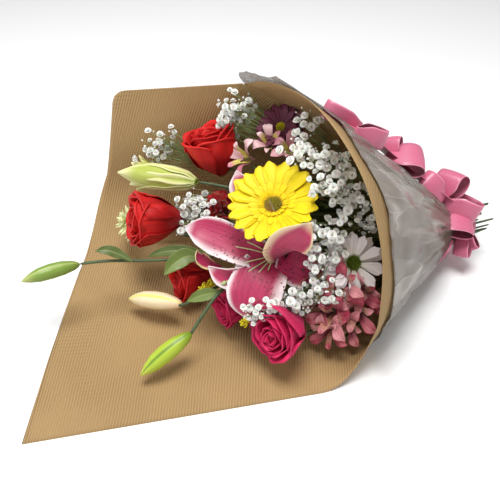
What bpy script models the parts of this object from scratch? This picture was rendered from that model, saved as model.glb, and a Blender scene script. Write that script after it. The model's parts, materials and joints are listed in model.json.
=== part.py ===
"""A mixed flower bouquet in a kraft paper wrap with a clear film over it, lying on its side.

Metres, +Z up. The stems run along +X, the flower heads fan out towards -X, and the flat flap of
the kraft paper lies on the surface at Z = 0. The origin is on the underside of that flap, below
the flower heads and on the bouquet's centre line.
"""

import math

import bmesh
import bpy
from mathutils import Vector

MM = 0.001
GAP = 0.4 * MM  # air kept between two pieces that rest on each other

# The tie, where every stem passes through a bundle of close-packed slots.
TIE_CENTRE = Vector((240, 12, 43)) * MM
SLOT_PITCH = 6.6 * MM
CUT_END_X = 289 * MM
CUT_STAGGER = 6 * MM
SPREAD = 46 * MM  # how far from the tie the fan of stems fills the bundle's width

# Kraft sheet: a flat front flap, a bend and a standing back wall, then a cone to the tie.
KRAFT_THICKNESS = 0.5 * MM
FLAT_SHARE = 0.50  # share of the section that lies flat
BEND_SHARE = 0.74  # share of the section where the bend ends and the wall starts
BEND_RADIUS = 86 * MM
FLAP_COLUMNS = 9
FLAP_ROWS = 22
KRAFT_TIE_RADIUS = 24 * MM
KRAFT_PAST_TIE = 20 * MM
CORNER_RADIUS = 20 * MM  # of the back left corner
CURL_IN = 22 * MM  # how far the front edge turns in where it meets the cone
CURL_UP = 46 * MM  # and how far up
MOUTH_CENTRE = Vector((42, 0, 105)) * MM  # the middle of the cone's mouth

# Clear film over the cone, and the ribbon round the tie.
FILM_THICKNESS = 0.3 * MM
FILM_OFFSET = 1.6 * MM
FILM_PAST_TIE = 28 * MM
BAND_WIDTH = 26 * MM
RIBBON_THICKNESS = 0.4 * MM
LOOP_STEPS = 12


# ---- Small helpers -------------------------------------------------------------------------


def mm(x, y, z):
    """A point given in millimetres, as metres."""
    return Vector((x, y, z)) * MM


def between(a, b, share):
    return a + (b - a) * share


def along(nodes, where):
    """Reads a value off a line through (place, value) nodes, in order of place."""
    for (place_a, a), (place_b, b) in zip(nodes, nodes[1:]):
        if where <= place_b:
            return between(a, b, (where - place_a) / (place_b - place_a))
    return nodes[-1][1]


def smooth_path(points, steps):
    """A Catmull-Rom curve through the points, with steps pieces between each pair."""
    ends = [points[0] * 2 - points[1], *points, points[-1] * 2 - points[-2]]
    path = []
    for a, b, c, d in zip(ends, ends[1:], ends[2:], ends[3:]):
        for i in range(steps):
            t = i / steps
            path.append(
                (b * 2 + (c - a) * t + (a * 2 - b * 5 + c * 4 - d) * t**2
                 + (b * 3 - a - c * 3 + d) * t**3) / 2
            )
    return path + [points[-1]]


def across(direction):
    """Two unit vectors square to a direction and to each other."""
    side = direction.cross(Vector((0, 0, 1)))
    if side.length < 0.1:
        side = direction.cross(Vector((0, 1, 0)))
    side.normalize()
    return side, side.cross(direction.normalized())


def clear_scene():
    for old in list(bpy.data.objects):
        bpy.data.objects.remove(old)
    bouquet = bpy.data.collections.new("bouquet")
    bpy.context.scene.collection.children.link(bouquet)


def material(name, colour, roughness):
    """A plain Principled material, made once for each name."""
    found = bpy.data.materials.get(name)
    if found:
        return found
    made = bpy.data.materials.new(name)
    made.use_nodes = True
    shader = made.node_tree.nodes["Principled BSDF"]
    shader.inputs["Base Color"].default_value = (*colour, 1)
    shader.inputs["Roughness"].default_value = roughness
    shader.inputs["Metallic"].default_value = 0
    return made


PAINTS = {
    "kraft": ((0.42, 0.27, 0.13), 0.85),
    "film": ((0.75, 0.72, 0.68), 0.25),
    "ribbon": ((0.72, 0.16, 0.28), 0.35),
    "stem": ((0.10, 0.20, 0.05), 0.60),
    "leaf": ((0.09, 0.24, 0.05), 0.50),
    "yellow": ((0.95, 0.70, 0.01), 0.55),
    "red": ((0.55, 0.01, 0.02), 0.50),
    "magenta": ((0.58, 0.01, 0.12), 0.50),
    "lily": ((0.62, 0.10, 0.24), 0.45),
    "bud_green": ((0.35, 0.50, 0.06), 0.45),
    "bud_cream": ((0.75, 0.62, 0.38), 0.45),
    "white": ((0.85, 0.82, 0.80), 0.60),
    "burgundy": ((0.12, 0.01, 0.03), 0.55),
    "pink": ((0.70, 0.22, 0.26), 0.50),
    "gold": ((0.75, 0.58, 0.02), 0.80),
}


def place(obj, paint):
    """Puts a finished object in the bouquet's collection with its material."""
    bpy.data.collections["bouquet"].objects.link(obj)
    obj.data.materials.append(material(paint, *PAINTS[paint]))
    return obj


def solidify(obj, thickness, offset):
    shell = obj.modifiers.new("thickness", "SOLIDIFY")
    shell.thickness = thickness
    shell.offset = offset
    shell.use_even_offset = True
    return obj


def loft(name, rings, paint, closed=False, centre=False):
    """A surface through rings of points. closed joins each ring's ends, centre fans in the first."""
    points = [p for ring in rings for p in ring]
    count = len(rings[0])
    faces = []
    for r in range(len(rings) - 1):
        for i in range(count if closed else count - 1):
            j = (i + 1) % count
            low, high = r * count, (r + 1) * count
            faces.append((low + i, low + j, high + j, high + i))
    if centre:
        faces.append(tuple(reversed(range(count))))
    mesh = bpy.data.meshes.new(name)
    mesh.from_pydata(points, [], faces)
    mesh.shade_smooth()
    return place(bpy.data.objects.new(name, mesh), paint)


# ---- Kraft paper wrap ----------------------------------------------------------------------


def front_edge_y(x):
    """The sheet's front edge, which runs nearly along X."""
    return -139.3 * MM - 0.15 * x


def wall_y(x):
    """Where the back wall stands, further back towards the open end."""
    return 150 * MM - 0.357 * x


def wall_top_z(x):
    return 208.5 * MM + 0.134 * x


def kraft_section(x, share):
    """(y, z) at a share of the way from the front edge to the top of the back wall, at one x."""
    wall = wall_y(x)
    if share <= FLAT_SHARE:
        t = share / FLAT_SHARE
        near_edge = max(0, 1 - t / 0.3) ** 2
        near_mouth = max(0, x - 5 * MM) / (59 * MM)
        curl = near_edge * near_mouth**2
        flat_y = between(front_edge_y(x), wall - BEND_RADIUS, t)
        return flat_y + CURL_IN * curl, CURL_UP * curl
    if share <= BEND_SHARE:
        turn = (share - FLAT_SHARE) / (BEND_SHARE - FLAT_SHARE) * math.pi / 2
        return wall - BEND_RADIUS * (1 - math.sin(turn)), BEND_RADIUS * (1 - math.cos(turn))
    t = (share - BEND_SHARE) / (1 - BEND_SHARE)
    lean = between(11 * MM, -10 * MM, (x + 112 * MM) / (138 * MM)) * t**2
    return wall + lean, between(BEND_RADIUS, wall_top_z(x), t)


def flap_left_x(share):
    """The sheet's left edge: slanted on the flat, then up the wall to a rounded corner."""
    nodes = [(0, -282), (FLAT_SHARE, -196), (BEND_SHARE, -139), (1, -115)]
    x = along(nodes, share) * MM
    wall_height = wall_top_z(x) - BEND_RADIUS
    from_top = (1 - share) / (1 - BEND_SHARE) * wall_height
    if from_top < CORNER_RADIUS:
        x += CORNER_RADIUS - math.sqrt(CORNER_RADIUS**2 - (CORNER_RADIUS - from_top) ** 2)
    return x


def mouth_x(share):
    return along([(0, 64), (FLAT_SHARE, 36), (1, 26)], share) * MM


def section_shares():
    """Shares down the section, closer together at the rounded corner."""
    even = [i / FLAP_ROWS for i in range(FLAP_ROWS)]
    return even + [0.975, 0.99, 1.0]


def mouth_ring():
    """The closed edge of the cone's mouth: the sheet's section, then the arch over the flowers."""
    ring = []
    for share in section_shares():
        x = mouth_x(share)
        ring.append(Vector((x, *kraft_section(x, share))))
    crown = [
        ring[-1], mm(29, 92, 230), mm(33, 41, 245), mm(36, -14, 252), mm(41, -64, 241),
        mm(47, -106, 213), mm(53, -134, 160), mm(53, -146, 95), ring[0],
    ]
    return ring + smooth_path(crown, 2)[1:-1]


def tie_ring(mouth, radius, x):
    """The ring at the tie, with each point on the same bearing as its point of the mouth."""
    ring = []
    for p in mouth:
        bearing = math.atan2(p.z - MOUTH_CENTRE.z, p.y - MOUTH_CENTRE.y)
        ring.append(
            Vector((x, TIE_CENTRE.y + radius * math.cos(bearing),
                    TIE_CENTRE.z + radius * math.sin(bearing)))
        )
    return ring


def cone_ring(mouth, tie, t):
    """A ring of the cone, t of the way from the mouth to the tie."""
    return [between(a, b, t) for a, b in zip(mouth, tie)]


def outward(ring):
    """For each point of a closed ring, the direction square to the ring and away from its middle."""
    ways = []
    for i in range(len(ring)):
        run = ring[(i + 1) % len(ring)] - ring[i - 1]
        ways.append(Vector((0, run.z, -run.y)).normalized())
    return ways


def make_kraft_wrap():
    shares = section_shares()
    mouth = mouth_ring()
    tie = tie_ring(mouth, KRAFT_TIE_RADIUS, TIE_CENTRE.x)
    points, faces = [], []
    for column in range(FLAP_COLUMNS):
        for share in shares:
            x = between(flap_left_x(share), mouth_x(share), column / FLAP_COLUMNS)
            points.append(Vector((x, *kraft_section(x, share))))
    rows = len(shares)
    first_ring = len(points)
    cone = [cone_ring(mouth, tie, t) for t in (0, 0.25, 0.5, 0.75, 1)]
    cone.append([p + Vector((KRAFT_PAST_TIE, 0, 0)) for p in tie])
    for ring in cone:
        points.extend(ring)
    for column in range(FLAP_COLUMNS):
        for i in range(rows - 1):
            a = column * rows + i
            b = a + rows
            faces.append((a, a + 1, b + 1, b))
    count = len(mouth)
    for r in range(len(cone) - 1):
        low = first_ring + r * count
        for i in range(count):
            j = (i + 1) % count
            faces.append((low + i, low + j, low + count + j, low + count + i))
    mesh = bpy.data.meshes.new("kraft_wrap")
    mesh.from_pydata(points, [], faces)
    mesh.shade_smooth()
    solidify(place(bpy.data.objects.new("kraft_wrap", mesh), "kraft"), KRAFT_THICKNESS, -1)


def film_start(point):
    """How far down the cone the film's edge lies: past the mouth at the top of the back wall."""
    if point.z > 200 * MM and point.y > 0:
        return -0.03
    return 0.12 if point.z < 20 * MM else 0.07


def make_film_wrap():
    mouth = mouth_ring()
    tie = tie_ring(mouth, KRAFT_TIE_RADIUS, TIE_CENTRE.x)
    starts = [film_start(p) for p in mouth]
    rings = []
    for share in (0, 0.3, 0.65, 1):
        ring = [
            between(a, b, between(start, 1, share)) for a, b, start in zip(mouth, tie, starts)
        ]
        rings.append([p + way * FILM_OFFSET for p, way in zip(ring, outward(ring))])
    rings.append([p + Vector((FILM_PAST_TIE, 0, 0)) for p in rings[-1]])
    solidify(loft("film_wrap", rings, "film", closed=True), FILM_THICKNESS, 1)


# ---- Stems ---------------------------------------------------------------------------------


def tube(name, path, radius, paint="stem"):
    """A round stem along a path of points, with closed ends."""
    curve = bpy.data.curves.new(name, "CURVE")
    curve.dimensions = "3D"
    curve.bevel_depth = radius
    curve.bevel_resolution = 1
    curve.use_fill_caps = True
    line = curve.splines.new("POLY")
    line.points.add(len(path) - 1)
    for point, p in zip(line.points, path):
        point.co = (*p, 1)
    return place(bpy.data.objects.new(name, curve), paint)


def bundle_slots():
    """The places in the bundle: the middle one, then rings of six, twelve and eighteen."""
    places = [TIE_CENTRE.copy()]
    for ring in (1, 2, 3):
        for index in range(6 * ring):
            turn = 2 * math.pi * index / (6 * ring)
            places.append(
                TIE_CENTRE + Vector((0, math.cos(turn), math.sin(turn))) * SLOT_PITCH * ring
            )
    return places


FREE_SLOTS = bundle_slots()


def claim_slot(point):
    """The free slot nearest to the line from the tie to a point, so that no two stems cross."""
    reach = TIE_CENTRE.x - point.x
    wanted = TIE_CENTRE + Vector((0, point.y - TIE_CENTRE.y, point.z - TIE_CENTRE.z)) * (
        SPREAD / reach
    )
    nearest = min(FREE_SLOTS, key=lambda place: (place - wanted).length)
    FREE_SLOTS.remove(nearest)
    return nearest


def stem_start(point):
    """From the cut end through a slot at the tie. The cut ends are staggered in threes."""
    at_tie = claim_slot(point)
    beyond = CUT_END_X - TIE_CENTRE.x + (len(FREE_SLOTS) % 3) * CUT_STAGGER
    return [at_tie + Vector((beyond, 0, 0)), at_tie]


def bend_to(start, corner, end, reach):
    """A straight run to near the corner, then a curve that ends along corner to end."""
    turn_in = corner + (start - corner).normalized() * reach
    curve = []
    for t in (0, 0.35, 0.7, 1):
        curve.append(between(between(turn_in, corner, t), between(corner, end, t), t))
    return curve


# ---- Blooms, buds and sprays ---------------------------------------------------------------


def turned(name, profile, base, facing, paint, steps=12):
    """A closed solid of revolution. profile is (height, radius) from base to tip, in mm."""
    mesh = bpy.data.meshes.new(name)
    points = [Vector((radius, 0, height)) * MM for height, radius in reversed(profile)]
    mesh.from_pydata(points, [(i, i + 1) for i in range(len(points) - 1)], [])
    obj = place(bpy.data.objects.new(name, mesh), paint)
    screw = obj.modifiers.new("turn", "SCREW")
    screw.axis = "Z"
    screw.steps = steps
    screw.render_steps = steps
    screw.use_merge_vertices = True
    screw.merge_threshold = 0.01 * MM
    screw.use_normal_calculate = True
    obj.location = base
    obj.rotation_mode = "QUATERNION"
    obj.rotation_quaternion = Vector((0, 0, 1)).rotation_difference(facing)
    return obj


def lobed(name, petals, rings, notch, thickness, base, facing, paint, spin=0.0, points_each=2):
    """An open bloom as one sheet. rings are (height, radius) in mm, and the last is notched."""
    facing = facing.normalized()
    right, up = across(facing)
    count = petals * points_each
    made = []
    for k, (height, radius) in enumerate(rings):
        depth = notch * (k / (len(rings) - 1)) ** 2
        ring = []
        for i in range(count):
            turn = 2 * math.pi * i / count + spin
            between_petals = 0.5 - 0.5 * math.cos(2 * math.pi * i / points_each)
            reach = radius * (1 - depth * between_petals) * MM
            ring.append(
                base + facing * height * MM + (right * math.cos(turn) + up * math.sin(turn)) * reach
            )
        made.append(ring)
    bloom = loft(name, made, paint, closed=True, centre=True)
    return solidify(bloom, thickness, 0)


def spray(name, knots, paint):
    """A stem that opens into a soft head of small florets. knots are ((x, y, z), radius) in mm."""
    path = stem_start(mm(*knots[0][0]))
    radii = [1.6, 1.6]
    for point, radius in knots:
        path.append(mm(*point))
        radii.append(radius)
    obj = tube(name, path, MM, paint)
    for point, radius in zip(obj.data.splines[0].points, radii):
        point.radius = radius
    return obj


def ribbon_loop(name, root, way, axis, length, width, fullness=0.42):
    """A closed loop of ribbon, its tip at root, reaching out along way. axis is its width."""
    way = way.normalized()
    axis = (axis - way * axis.dot(way)).normalized()
    side = way.cross(axis)
    near, far = [], []
    for i in range(LOOP_STEPS):
        turn = 2 * math.pi * i / LOOP_STEPS
        reach = (1 - math.cos(turn)) / 2
        belly = math.sin(turn) * fullness * (0.45 + 0.55 * reach)
        point = root + (way * reach + side * belly) * length * MM
        near.append(point - axis * width / 2 * MM)
        far.append(point + axis * width / 2 * MM)
    return solidify(loft(name, [near, far], "ribbon", closed=True), RIBBON_THICKNESS, 0)


def blade(name, path, widths, up, paint="leaf"):
    """A leaf along a path of points, with its width at each one in mm. up is its top side."""
    left, middle, right = [], [], []
    for i, p in enumerate(path):
        run = path[min(i + 1, len(path) - 1)] - path[max(i - 1, 0)]
        side = run.cross(up).normalized() * widths[i] * MM / 2
        left.append(p - side)
        middle.append(p - up.normalized() * widths[i] * MM * 0.12)
        right.append(p + side)
    return solidify(loft(name, [left, middle, right], paint), 0.8 * MM, 0)


ROSE_PROFILE = [
    (0, 0), (1, 5), (6, 13), (14, 20), (26, 25), (38, 25.5), (48, 22), (54, 15), (53, 6), (50, 0),
]
BUD_PROFILE = [(0, 0), (1, 4), (8, 7.5), (24, 9.5), (42, 9), (56, 5.5), (64, 2), (66, 0)]
OPEN_BUD_PROFILE = [(0, 0), (1, 5), (14, 9), (34, 14), (56, 18), (70, 17), (78, 12), (72, 4), (68, 0)]
CARNATION_PROFILE = [(0, 0), (1, 5), (14, 8), (24, 20), (36, 24), (40, 15), (38, 0)]
MUM_PROFILE = [(0, 0), (1, 4), (6, 16), (16, 22), (26, 16), (30, 0)]
FLORET_RINGS = [(0, 2), (10, 5), (24, 14), (32, 24)]
DAISY_RINGS = [(0, 3), (3, 9), (6, 20), (5, 31)]


def stemmed(name, bloom_base, facing, radius, neck):
    """The stem that carries a bloom: it comes up square to the bloom's back."""
    facing = facing.normalized()
    end = bloom_base - facing * (radius * 0.6 + GAP)
    corner = end - facing * neck
    path = stem_start(corner)
    return tube(name, path + bend_to(path[-1], corner, end, neck), radius)


def make_roses():
    roses = [
        # name, base, facing, size, paint
        ("red_rose_low", (-56, 34, 30), (-0.98, -0.05, 0.12), 0.84, "red"),
        ("red_rose_back", (2, 96, 121), (-0.5, 0.15, 0.85), 1.06, "red"),
        ("red_rose_left", (-78, 68, 72), (-0.85, 0.05, 0.5), 1.02, "red"),
        ("magenta_rose_front", (8, -87, 29), (-0.90, -0.42, 0.20), 1.0, "magenta"),
        ("magenta_rose_inner", (-18, -28, 26), (-0.98, -0.15, 0.05), 0.82, "magenta"),
    ]
    for name, base, facing, size, paint in roses:
        facing = Vector(facing)
        profile = [(h * size, r * size) for h, r in ROSE_PROFILE]
        turned(name + "_bloom", profile, mm(*base), facing, paint)
        stemmed(name + "_stem", mm(*base), facing, 2.4 * MM, 20 * MM)


def make_gerbera():
    base, facing = mm(0, -19, 152), Vector((-0.30, -0.45, 0.84))
    rings = [(0, 5), (6, 14), (9, 30), (10, 46)]
    lobed("gerbera_bloom", 24, rings, 0.16, 2.5 * MM, base, facing, "yellow")
    stemmed("gerbera_stem", base - facing * 2 * MM, facing, 2.2 * MM, 26 * MM)


def make_lily():
    base, facing = mm(18, -20, 76), Vector((-0.62, -0.50, 0.60))
    rings = [(0, 3.5), (16, 8), (32, 18), (43, 36), (45, 52), (40, 66)]
    lobed("lily_bloom", 6, rings, 0.62, 1.6 * MM, base, facing, "lily", spin=-0.08, points_each=6)
    stemmed("lily_stalk", base - facing * 1.2 * MM, facing, 2.6 * MM, 18 * MM)


def make_lily_buds():
    buds = [
        # name, base, tip, profile, girth, stalk points, paint
        ("opening_bud", (-49, 98, 118), (-119, 172, 100), OPEN_BUD_PROFILE, 0.9,
         [(10, 66, 106), (-20, 82, 115)], "bud_green"),
        ("left_bud", (-196, 53, 74), (-255, 41, 78), BUD_PROFILE, 1,
         [(-40, 26, 64), (-110, 36, 68), (-165, 48, 74)], "bud_green"),
        ("low_bud", (-103, -53, 40), (-162, -69, 16), BUD_PROFILE, 1,
         [(-2, -28, 50), (-24, -44, 54), (-70, -51, 45)], "bud_green"),
        ("cream_bud", (-106, -2, 33), (-152, 38, 22), BUD_PROFILE, 0.9,
         [(-30, 4, 42), (-70, -4, 46), (-94, -10, 40)], "bud_cream"),
    ]
    for name, base, tip, shape, girth, through, paint in buds:
        base, tip = mm(*base), mm(*tip)
        run = tip - base
        stretch = run.length / (max(h for h, _ in shape) * MM)
        turned(name, [(h * stretch, r * girth) for h, r in shape], base, run, paint)
        path = [mm(*p) for p in through] + [base - run.normalized() * 3 * GAP]
        tube(name + "_stalk", stem_start(path[0]) + smooth_path(path, 2), 1.9 * MM)


def make_daisies():
    daisies = [
        ("white_daisy", (72, -78, 94), (-0.15, -0.72, 0.65), 1.0, "white"),
        ("burgundy_daisy", (46, 86, 170), (-0.55, -0.45, 0.70), 1.0, "burgundy"),
    ]
    for name, base, facing, size, paint in daisies:
        base, facing = mm(*base), Vector(facing)
        rings = [(h * size, r * size) for h, r in DAISY_RINGS]
        lobed(name + "_bloom", 14, rings, 0.25, 1.6 * MM, base, facing, paint)
        stemmed(name + "_stem", base - facing * MM, facing, 1.6 * MM, 14 * MM)


def make_full_blooms():
    blooms = [
        ("red_carnation", (-8, 66, 70), (-0.75, 0.25, 0.55), CARNATION_PROFILE, "red"),
        ("cream_mum", (-104, 136, 40), (-0.8, 0.35, 0.3), MUM_PROFILE, "white"),
    ]
    for name, base, facing, profile, paint in blooms:
        base, facing = mm(*base), Vector(facing)
        turned(name + "_bloom", profile, base, facing, paint)
        stemmed(name + "_stem", base, facing, 1.8 * MM, 16 * MM)


def make_alstroemeria():
    florets = [
        ("alstroemeria_upper_a", (42, 56, 134), (-0.5, -0.5, 0.7), 1),
        ("alstroemeria_upper_b", (46, 88, 122), (-0.6, -0.4, 0.7), 1),
        ("alstroemeria_lower_a", (62, -82, 54), (-0.5, -0.8, 0.3), 1),
        ("alstroemeria_lower_b", (48, -102, 26), (-0.7, -0.7, 0.3), 0.9),
    ]
    for name, base, facing, size in florets:
        base, facing = mm(*base), Vector(facing)
        rings = [(h * size, r * size) for h, r in FLORET_RINGS]
        lobed(name, 6, rings, 0.35, 1.4 * MM, base, facing, "pink", points_each=3)
        stemmed(name + "_stem", base - facing * 0.9 * MM, facing, 1.4 * MM, 10 * MM)


def make_sprays():
    sprays = [
        # name, knots ((x, y, z), radius), paint
        ("baby_breath_back", [((40, 100, 110), 1.6), ((-30, 140, 134), 6), ((-48, 146, 142), 13),
                              ((-66, 150, 148), 13), ((-78, 152, 152), 7)], "white"),
        ("baby_breath_right", [((90, 32, 130), 1.6), ((72, 36, 164), 8), ((64, 38, 176), 17),
                               ((57, 36, 190), 20), ((52, 36, 205), 12)], "white"),
        ("baby_breath_top", [((96, -20, 130), 1.6), ((76, -26, 162), 8), ((70, -28, 173), 18),
                             ((62, -30, 189), 20), ((55, -32, 204), 12)], "white"),
        ("baby_breath_middle", [((100, -34, 112), 1.6), ((76, -50, 138), 7), ((68, -60, 146), 14),
                                ((60, -66, 158), 15), ((56, -70, 166), 7)], "white"),
        ("baby_breath_front", [((80, -56, 56), 1.6), ((44, -68, 66), 6), ((28, -76, 71), 12),
                               ((12, -86, 77), 12), ((2, -94, 81), 6)], "white"),
        ("baby_breath_left", [((20, 80, 60), 1.6), ((-40, 112, 60), 8), ((-54, 118, 66), 18),
                              ((-72, 124, 76), 18), ((-84, 128, 80), 9)], "white"),
        ("goldenrod", [((40, -10, 40), 1.4), ((-40, -8, 60), 1.4), ((-60, -14, 64), 6),
                       ((-76, -20, 66), 8), ((-92, -26, 66), 3)], "gold"),
    ]
    for name, knots, paint in sprays:
        spray(name, knots, paint)


def make_leaves():
    up = Vector((0, -0.3, 1))
    blade("leaf_middle", [mm(-62, 14, 66), mm(-84, 20, 62), mm(-108, 28, 58)], [8, 20, 5], up)
    blade("leaf_low_bud", [mm(-60, -42, 66), mm(-78, -48, 60), mm(-96, -44, 54)], [4, 13, 3], up)
    blade("leaf_left", [mm(-132, 46, 72), mm(-154, 56, 80), mm(-178, 60, 84)], [4, 9, 3], up)


def make_ribbon():
    outer = KRAFT_TIE_RADIUS + FILM_OFFSET + FILM_THICKNESS + 3 * GAP
    rings = []
    for x in (0, BAND_WIDTH):
        ring = []
        for i in range(28):
            turn = 2 * math.pi * i / 28
            side = Vector((0, math.cos(turn), math.sin(turn)))
            ring.append(TIE_CENTRE + Vector((x, 0, 0)) + side * outer)
        rings.append(ring)
    solidify(loft("ribbon_band", rings, "ribbon", closed=True), RIBBON_THICKNESS, 0)
    out = Vector((0.64, 0.33, 0.69))
    down = Vector((0.77, -0.31, -0.56))
    front = Vector((0.06, -0.90, 0.40))
    loops = [
        # root, way, width axis, length, width
        ((124, 84, 162), out * 0.42 - down * 0.9, front, 44, 28),
        ((140, 70, 150), out * 0.8 + down * 0.5 + front * 0.3, down, 30, 22),
        ((172, 58, 131), out * 0.9 - down * 0.12, front, 32, 24),
        ((188, 50, 119), out * 0.75 + down * 0.55, front, 36, 28),
        ((214, 18, 100), out * 0.3 + front * 0.9, down, 34, 28),
        ((222, 42, 88), out * 0.9, front, 36, 28),
        ((246, 22, 85), out * 0.55 + down * 0.6, front, 40, 30),
        ((254, -18, 62), Vector((0.75, -0.6, 0.1)), Vector((0, 0.3, 1)), 34, 26),
        ((238, -30, 40), Vector((0.4, -0.9, -0.2)), Vector((1, 0.3, 0)), 34, 26),
    ]
    for number, (root, way, axis, length, width) in enumerate(loops, 1):
        ribbon_loop("bow_loop_%d" % number, mm(*root), way, axis, length, width)


def main():
    clear_scene()
    make_kraft_wrap()
    make_film_wrap()
    make_ribbon()
    make_full_blooms()
    make_roses()
    make_gerbera()
    make_lily()
    make_lily_buds()
    make_daisies()
    make_alstroemeria()
    make_sprays()
    make_leaves()


main()
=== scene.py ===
"""A mixed flower bouquet in ribbed kraft paper and clear film, tied with a pink satin ribbon.

Metres, +Z up. The bouquet lies on its side, its stems along +X and its flower heads towards -X.
Each section makes one piece, or one group of like pieces, with its sizes, mesh and material.
"""

import json
import math
import random

import bpy
from mathutils import Matrix, Vector, noise

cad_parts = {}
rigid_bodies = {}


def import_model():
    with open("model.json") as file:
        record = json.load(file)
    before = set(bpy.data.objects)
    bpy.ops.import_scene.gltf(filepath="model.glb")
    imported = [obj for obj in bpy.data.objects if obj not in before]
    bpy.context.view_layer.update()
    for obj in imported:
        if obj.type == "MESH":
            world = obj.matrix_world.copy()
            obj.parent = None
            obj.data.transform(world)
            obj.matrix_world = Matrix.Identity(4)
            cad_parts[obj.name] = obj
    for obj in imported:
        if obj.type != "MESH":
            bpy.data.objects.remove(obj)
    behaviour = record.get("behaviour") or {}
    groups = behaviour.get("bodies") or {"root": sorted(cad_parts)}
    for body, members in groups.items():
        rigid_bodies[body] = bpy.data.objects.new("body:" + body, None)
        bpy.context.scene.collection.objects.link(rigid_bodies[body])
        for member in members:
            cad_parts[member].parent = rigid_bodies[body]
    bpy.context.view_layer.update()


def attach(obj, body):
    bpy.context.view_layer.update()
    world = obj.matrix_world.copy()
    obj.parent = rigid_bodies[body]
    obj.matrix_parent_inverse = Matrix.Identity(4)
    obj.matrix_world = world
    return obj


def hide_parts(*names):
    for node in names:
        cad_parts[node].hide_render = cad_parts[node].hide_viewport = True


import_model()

# ---- Kraft paper wrap ----------------------------------------------------------------------
# One sheet of brown kraft paper with fine embossed ribs. It lies flat in front, bends up into a
# standing back wall, and closes behind the flower heads into a cone that ends at the ribbon.

MM = 0.001
WELD_DISTANCE = 0.00001  # points closer than this are one
TIE = Vector((240, 12, 43)) * MM
PAPER_THICKNESS = 0.5 * MM
FLAT_SHARE, BEND_SHARE = 0.50, 0.74  # of the section: where the flat ends, and the bend
BEND_RADIUS = 86 * MM
PAPER_TIE_RADIUS = 24 * MM
CORNER_RADIUS = 12 * MM
CURL_IN, CURL_UP = 22 * MM, 46 * MM  # how far the front edge turns in and up at the cone
MOUTH_MIDDLE = Vector((42, 0, 105)) * MM
RIB_PITCH = 2.9  # mm, between two embossed ribs
RIB_SLANT = 0.36  # the ribs run parallel to the sheet's slanted left edge
PATTERN_PER_METRE = 10  # one unit of the paper's pattern is 100 mm
PATTERN_START = 0.24  # metres along the section, where the slant moves the ribs by nothing
BUCKLE = 2.2 * MM
SHEET_COLUMNS, CONE_ROWS = 36, 20
PAPER_UNDER_RIBBON = 20 * MM  # the paper runs on this far past the tie
CONE_APEX = Vector((292, 12, 34)) * MM
CONE_PATTERN_TURN = 1.3  # radians, sets which way the ribs run on the cone


def mm(x, y, z):
    """A place or a length along the axes, given in millimetres."""
    return Vector((x, y, z)) * MM


def between(a, b, share):
    """What lies a share of the way from a to b."""
    return a + (b - a) * share


def ease(share):
    """0 to 1 with a soft start and end, held at 0 and 1 outside."""
    share = min(1, max(0, share))
    return share * share * (3 - 2 * share)


def along(nodes, where):
    """Reads a value off a line through (place, value) nodes, in order of place."""
    for (place_a, a), (place_b, b) in zip(nodes, nodes[1:]):
        if where <= place_b:
            return between(a, b, (where - place_a) / (place_b - place_a))
    return nodes[-1][1]


def smooth_path(points, steps):
    """A Catmull-Rom curve through the points, with steps pieces between each pair."""
    ends = [points[0] * 2 - points[1], *points, points[-1] * 2 - points[-2]]
    path = []
    for a, b, c, d in zip(ends, ends[1:], ends[2:], ends[3:]):
        for i in range(steps):
            t = i / steps
            path.append(
                (b * 2 + (c - a) * t + (a * 2 - b * 5 + c * 4 - d) * t**2
                 + (b * 3 - a - c * 3 + d) * t**3) / 2
            )
    return path + [points[-1]]


def hex_colour(code):
    """An sRGB hex colour as linear RGBA."""
    parts = [int(code[i : i + 2], 16) / 255 for i in (1, 3, 5)]
    return (*[p / 12.92 if p <= 0.04045 else ((p + 0.055) / 1.055) ** 2.4 for p in parts], 1)


def add(tree, kind, settings=None, inputs=None):
    """Adds a shader node. inputs gives each socket a value, or another node's output to read."""
    made = tree.nodes.new(kind if "Node" in kind else "ShaderNode" + kind)
    for name, value in (settings or {}).items():
        setattr(made, name, value)
    for name, value in (inputs or {}).items():
        if isinstance(value, bpy.types.NodeSocket):
            tree.links.new(value, made.inputs[name])
        else:
            made.inputs[name].default_value = value
    return made


def new_material(name, roughness, **constants):
    """A Principled material and its tree and shader. Constants are set on the shader itself."""
    made = bpy.data.materials.new(name)
    made.use_nodes = True
    shader = made.node_tree.nodes["Principled BSDF"]
    shader.inputs["Roughness"].default_value = roughness
    for socket, value in constants.items():
        shader.inputs[socket.replace("_", " ")].default_value = value
    return made, made.node_tree, shader


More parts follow.
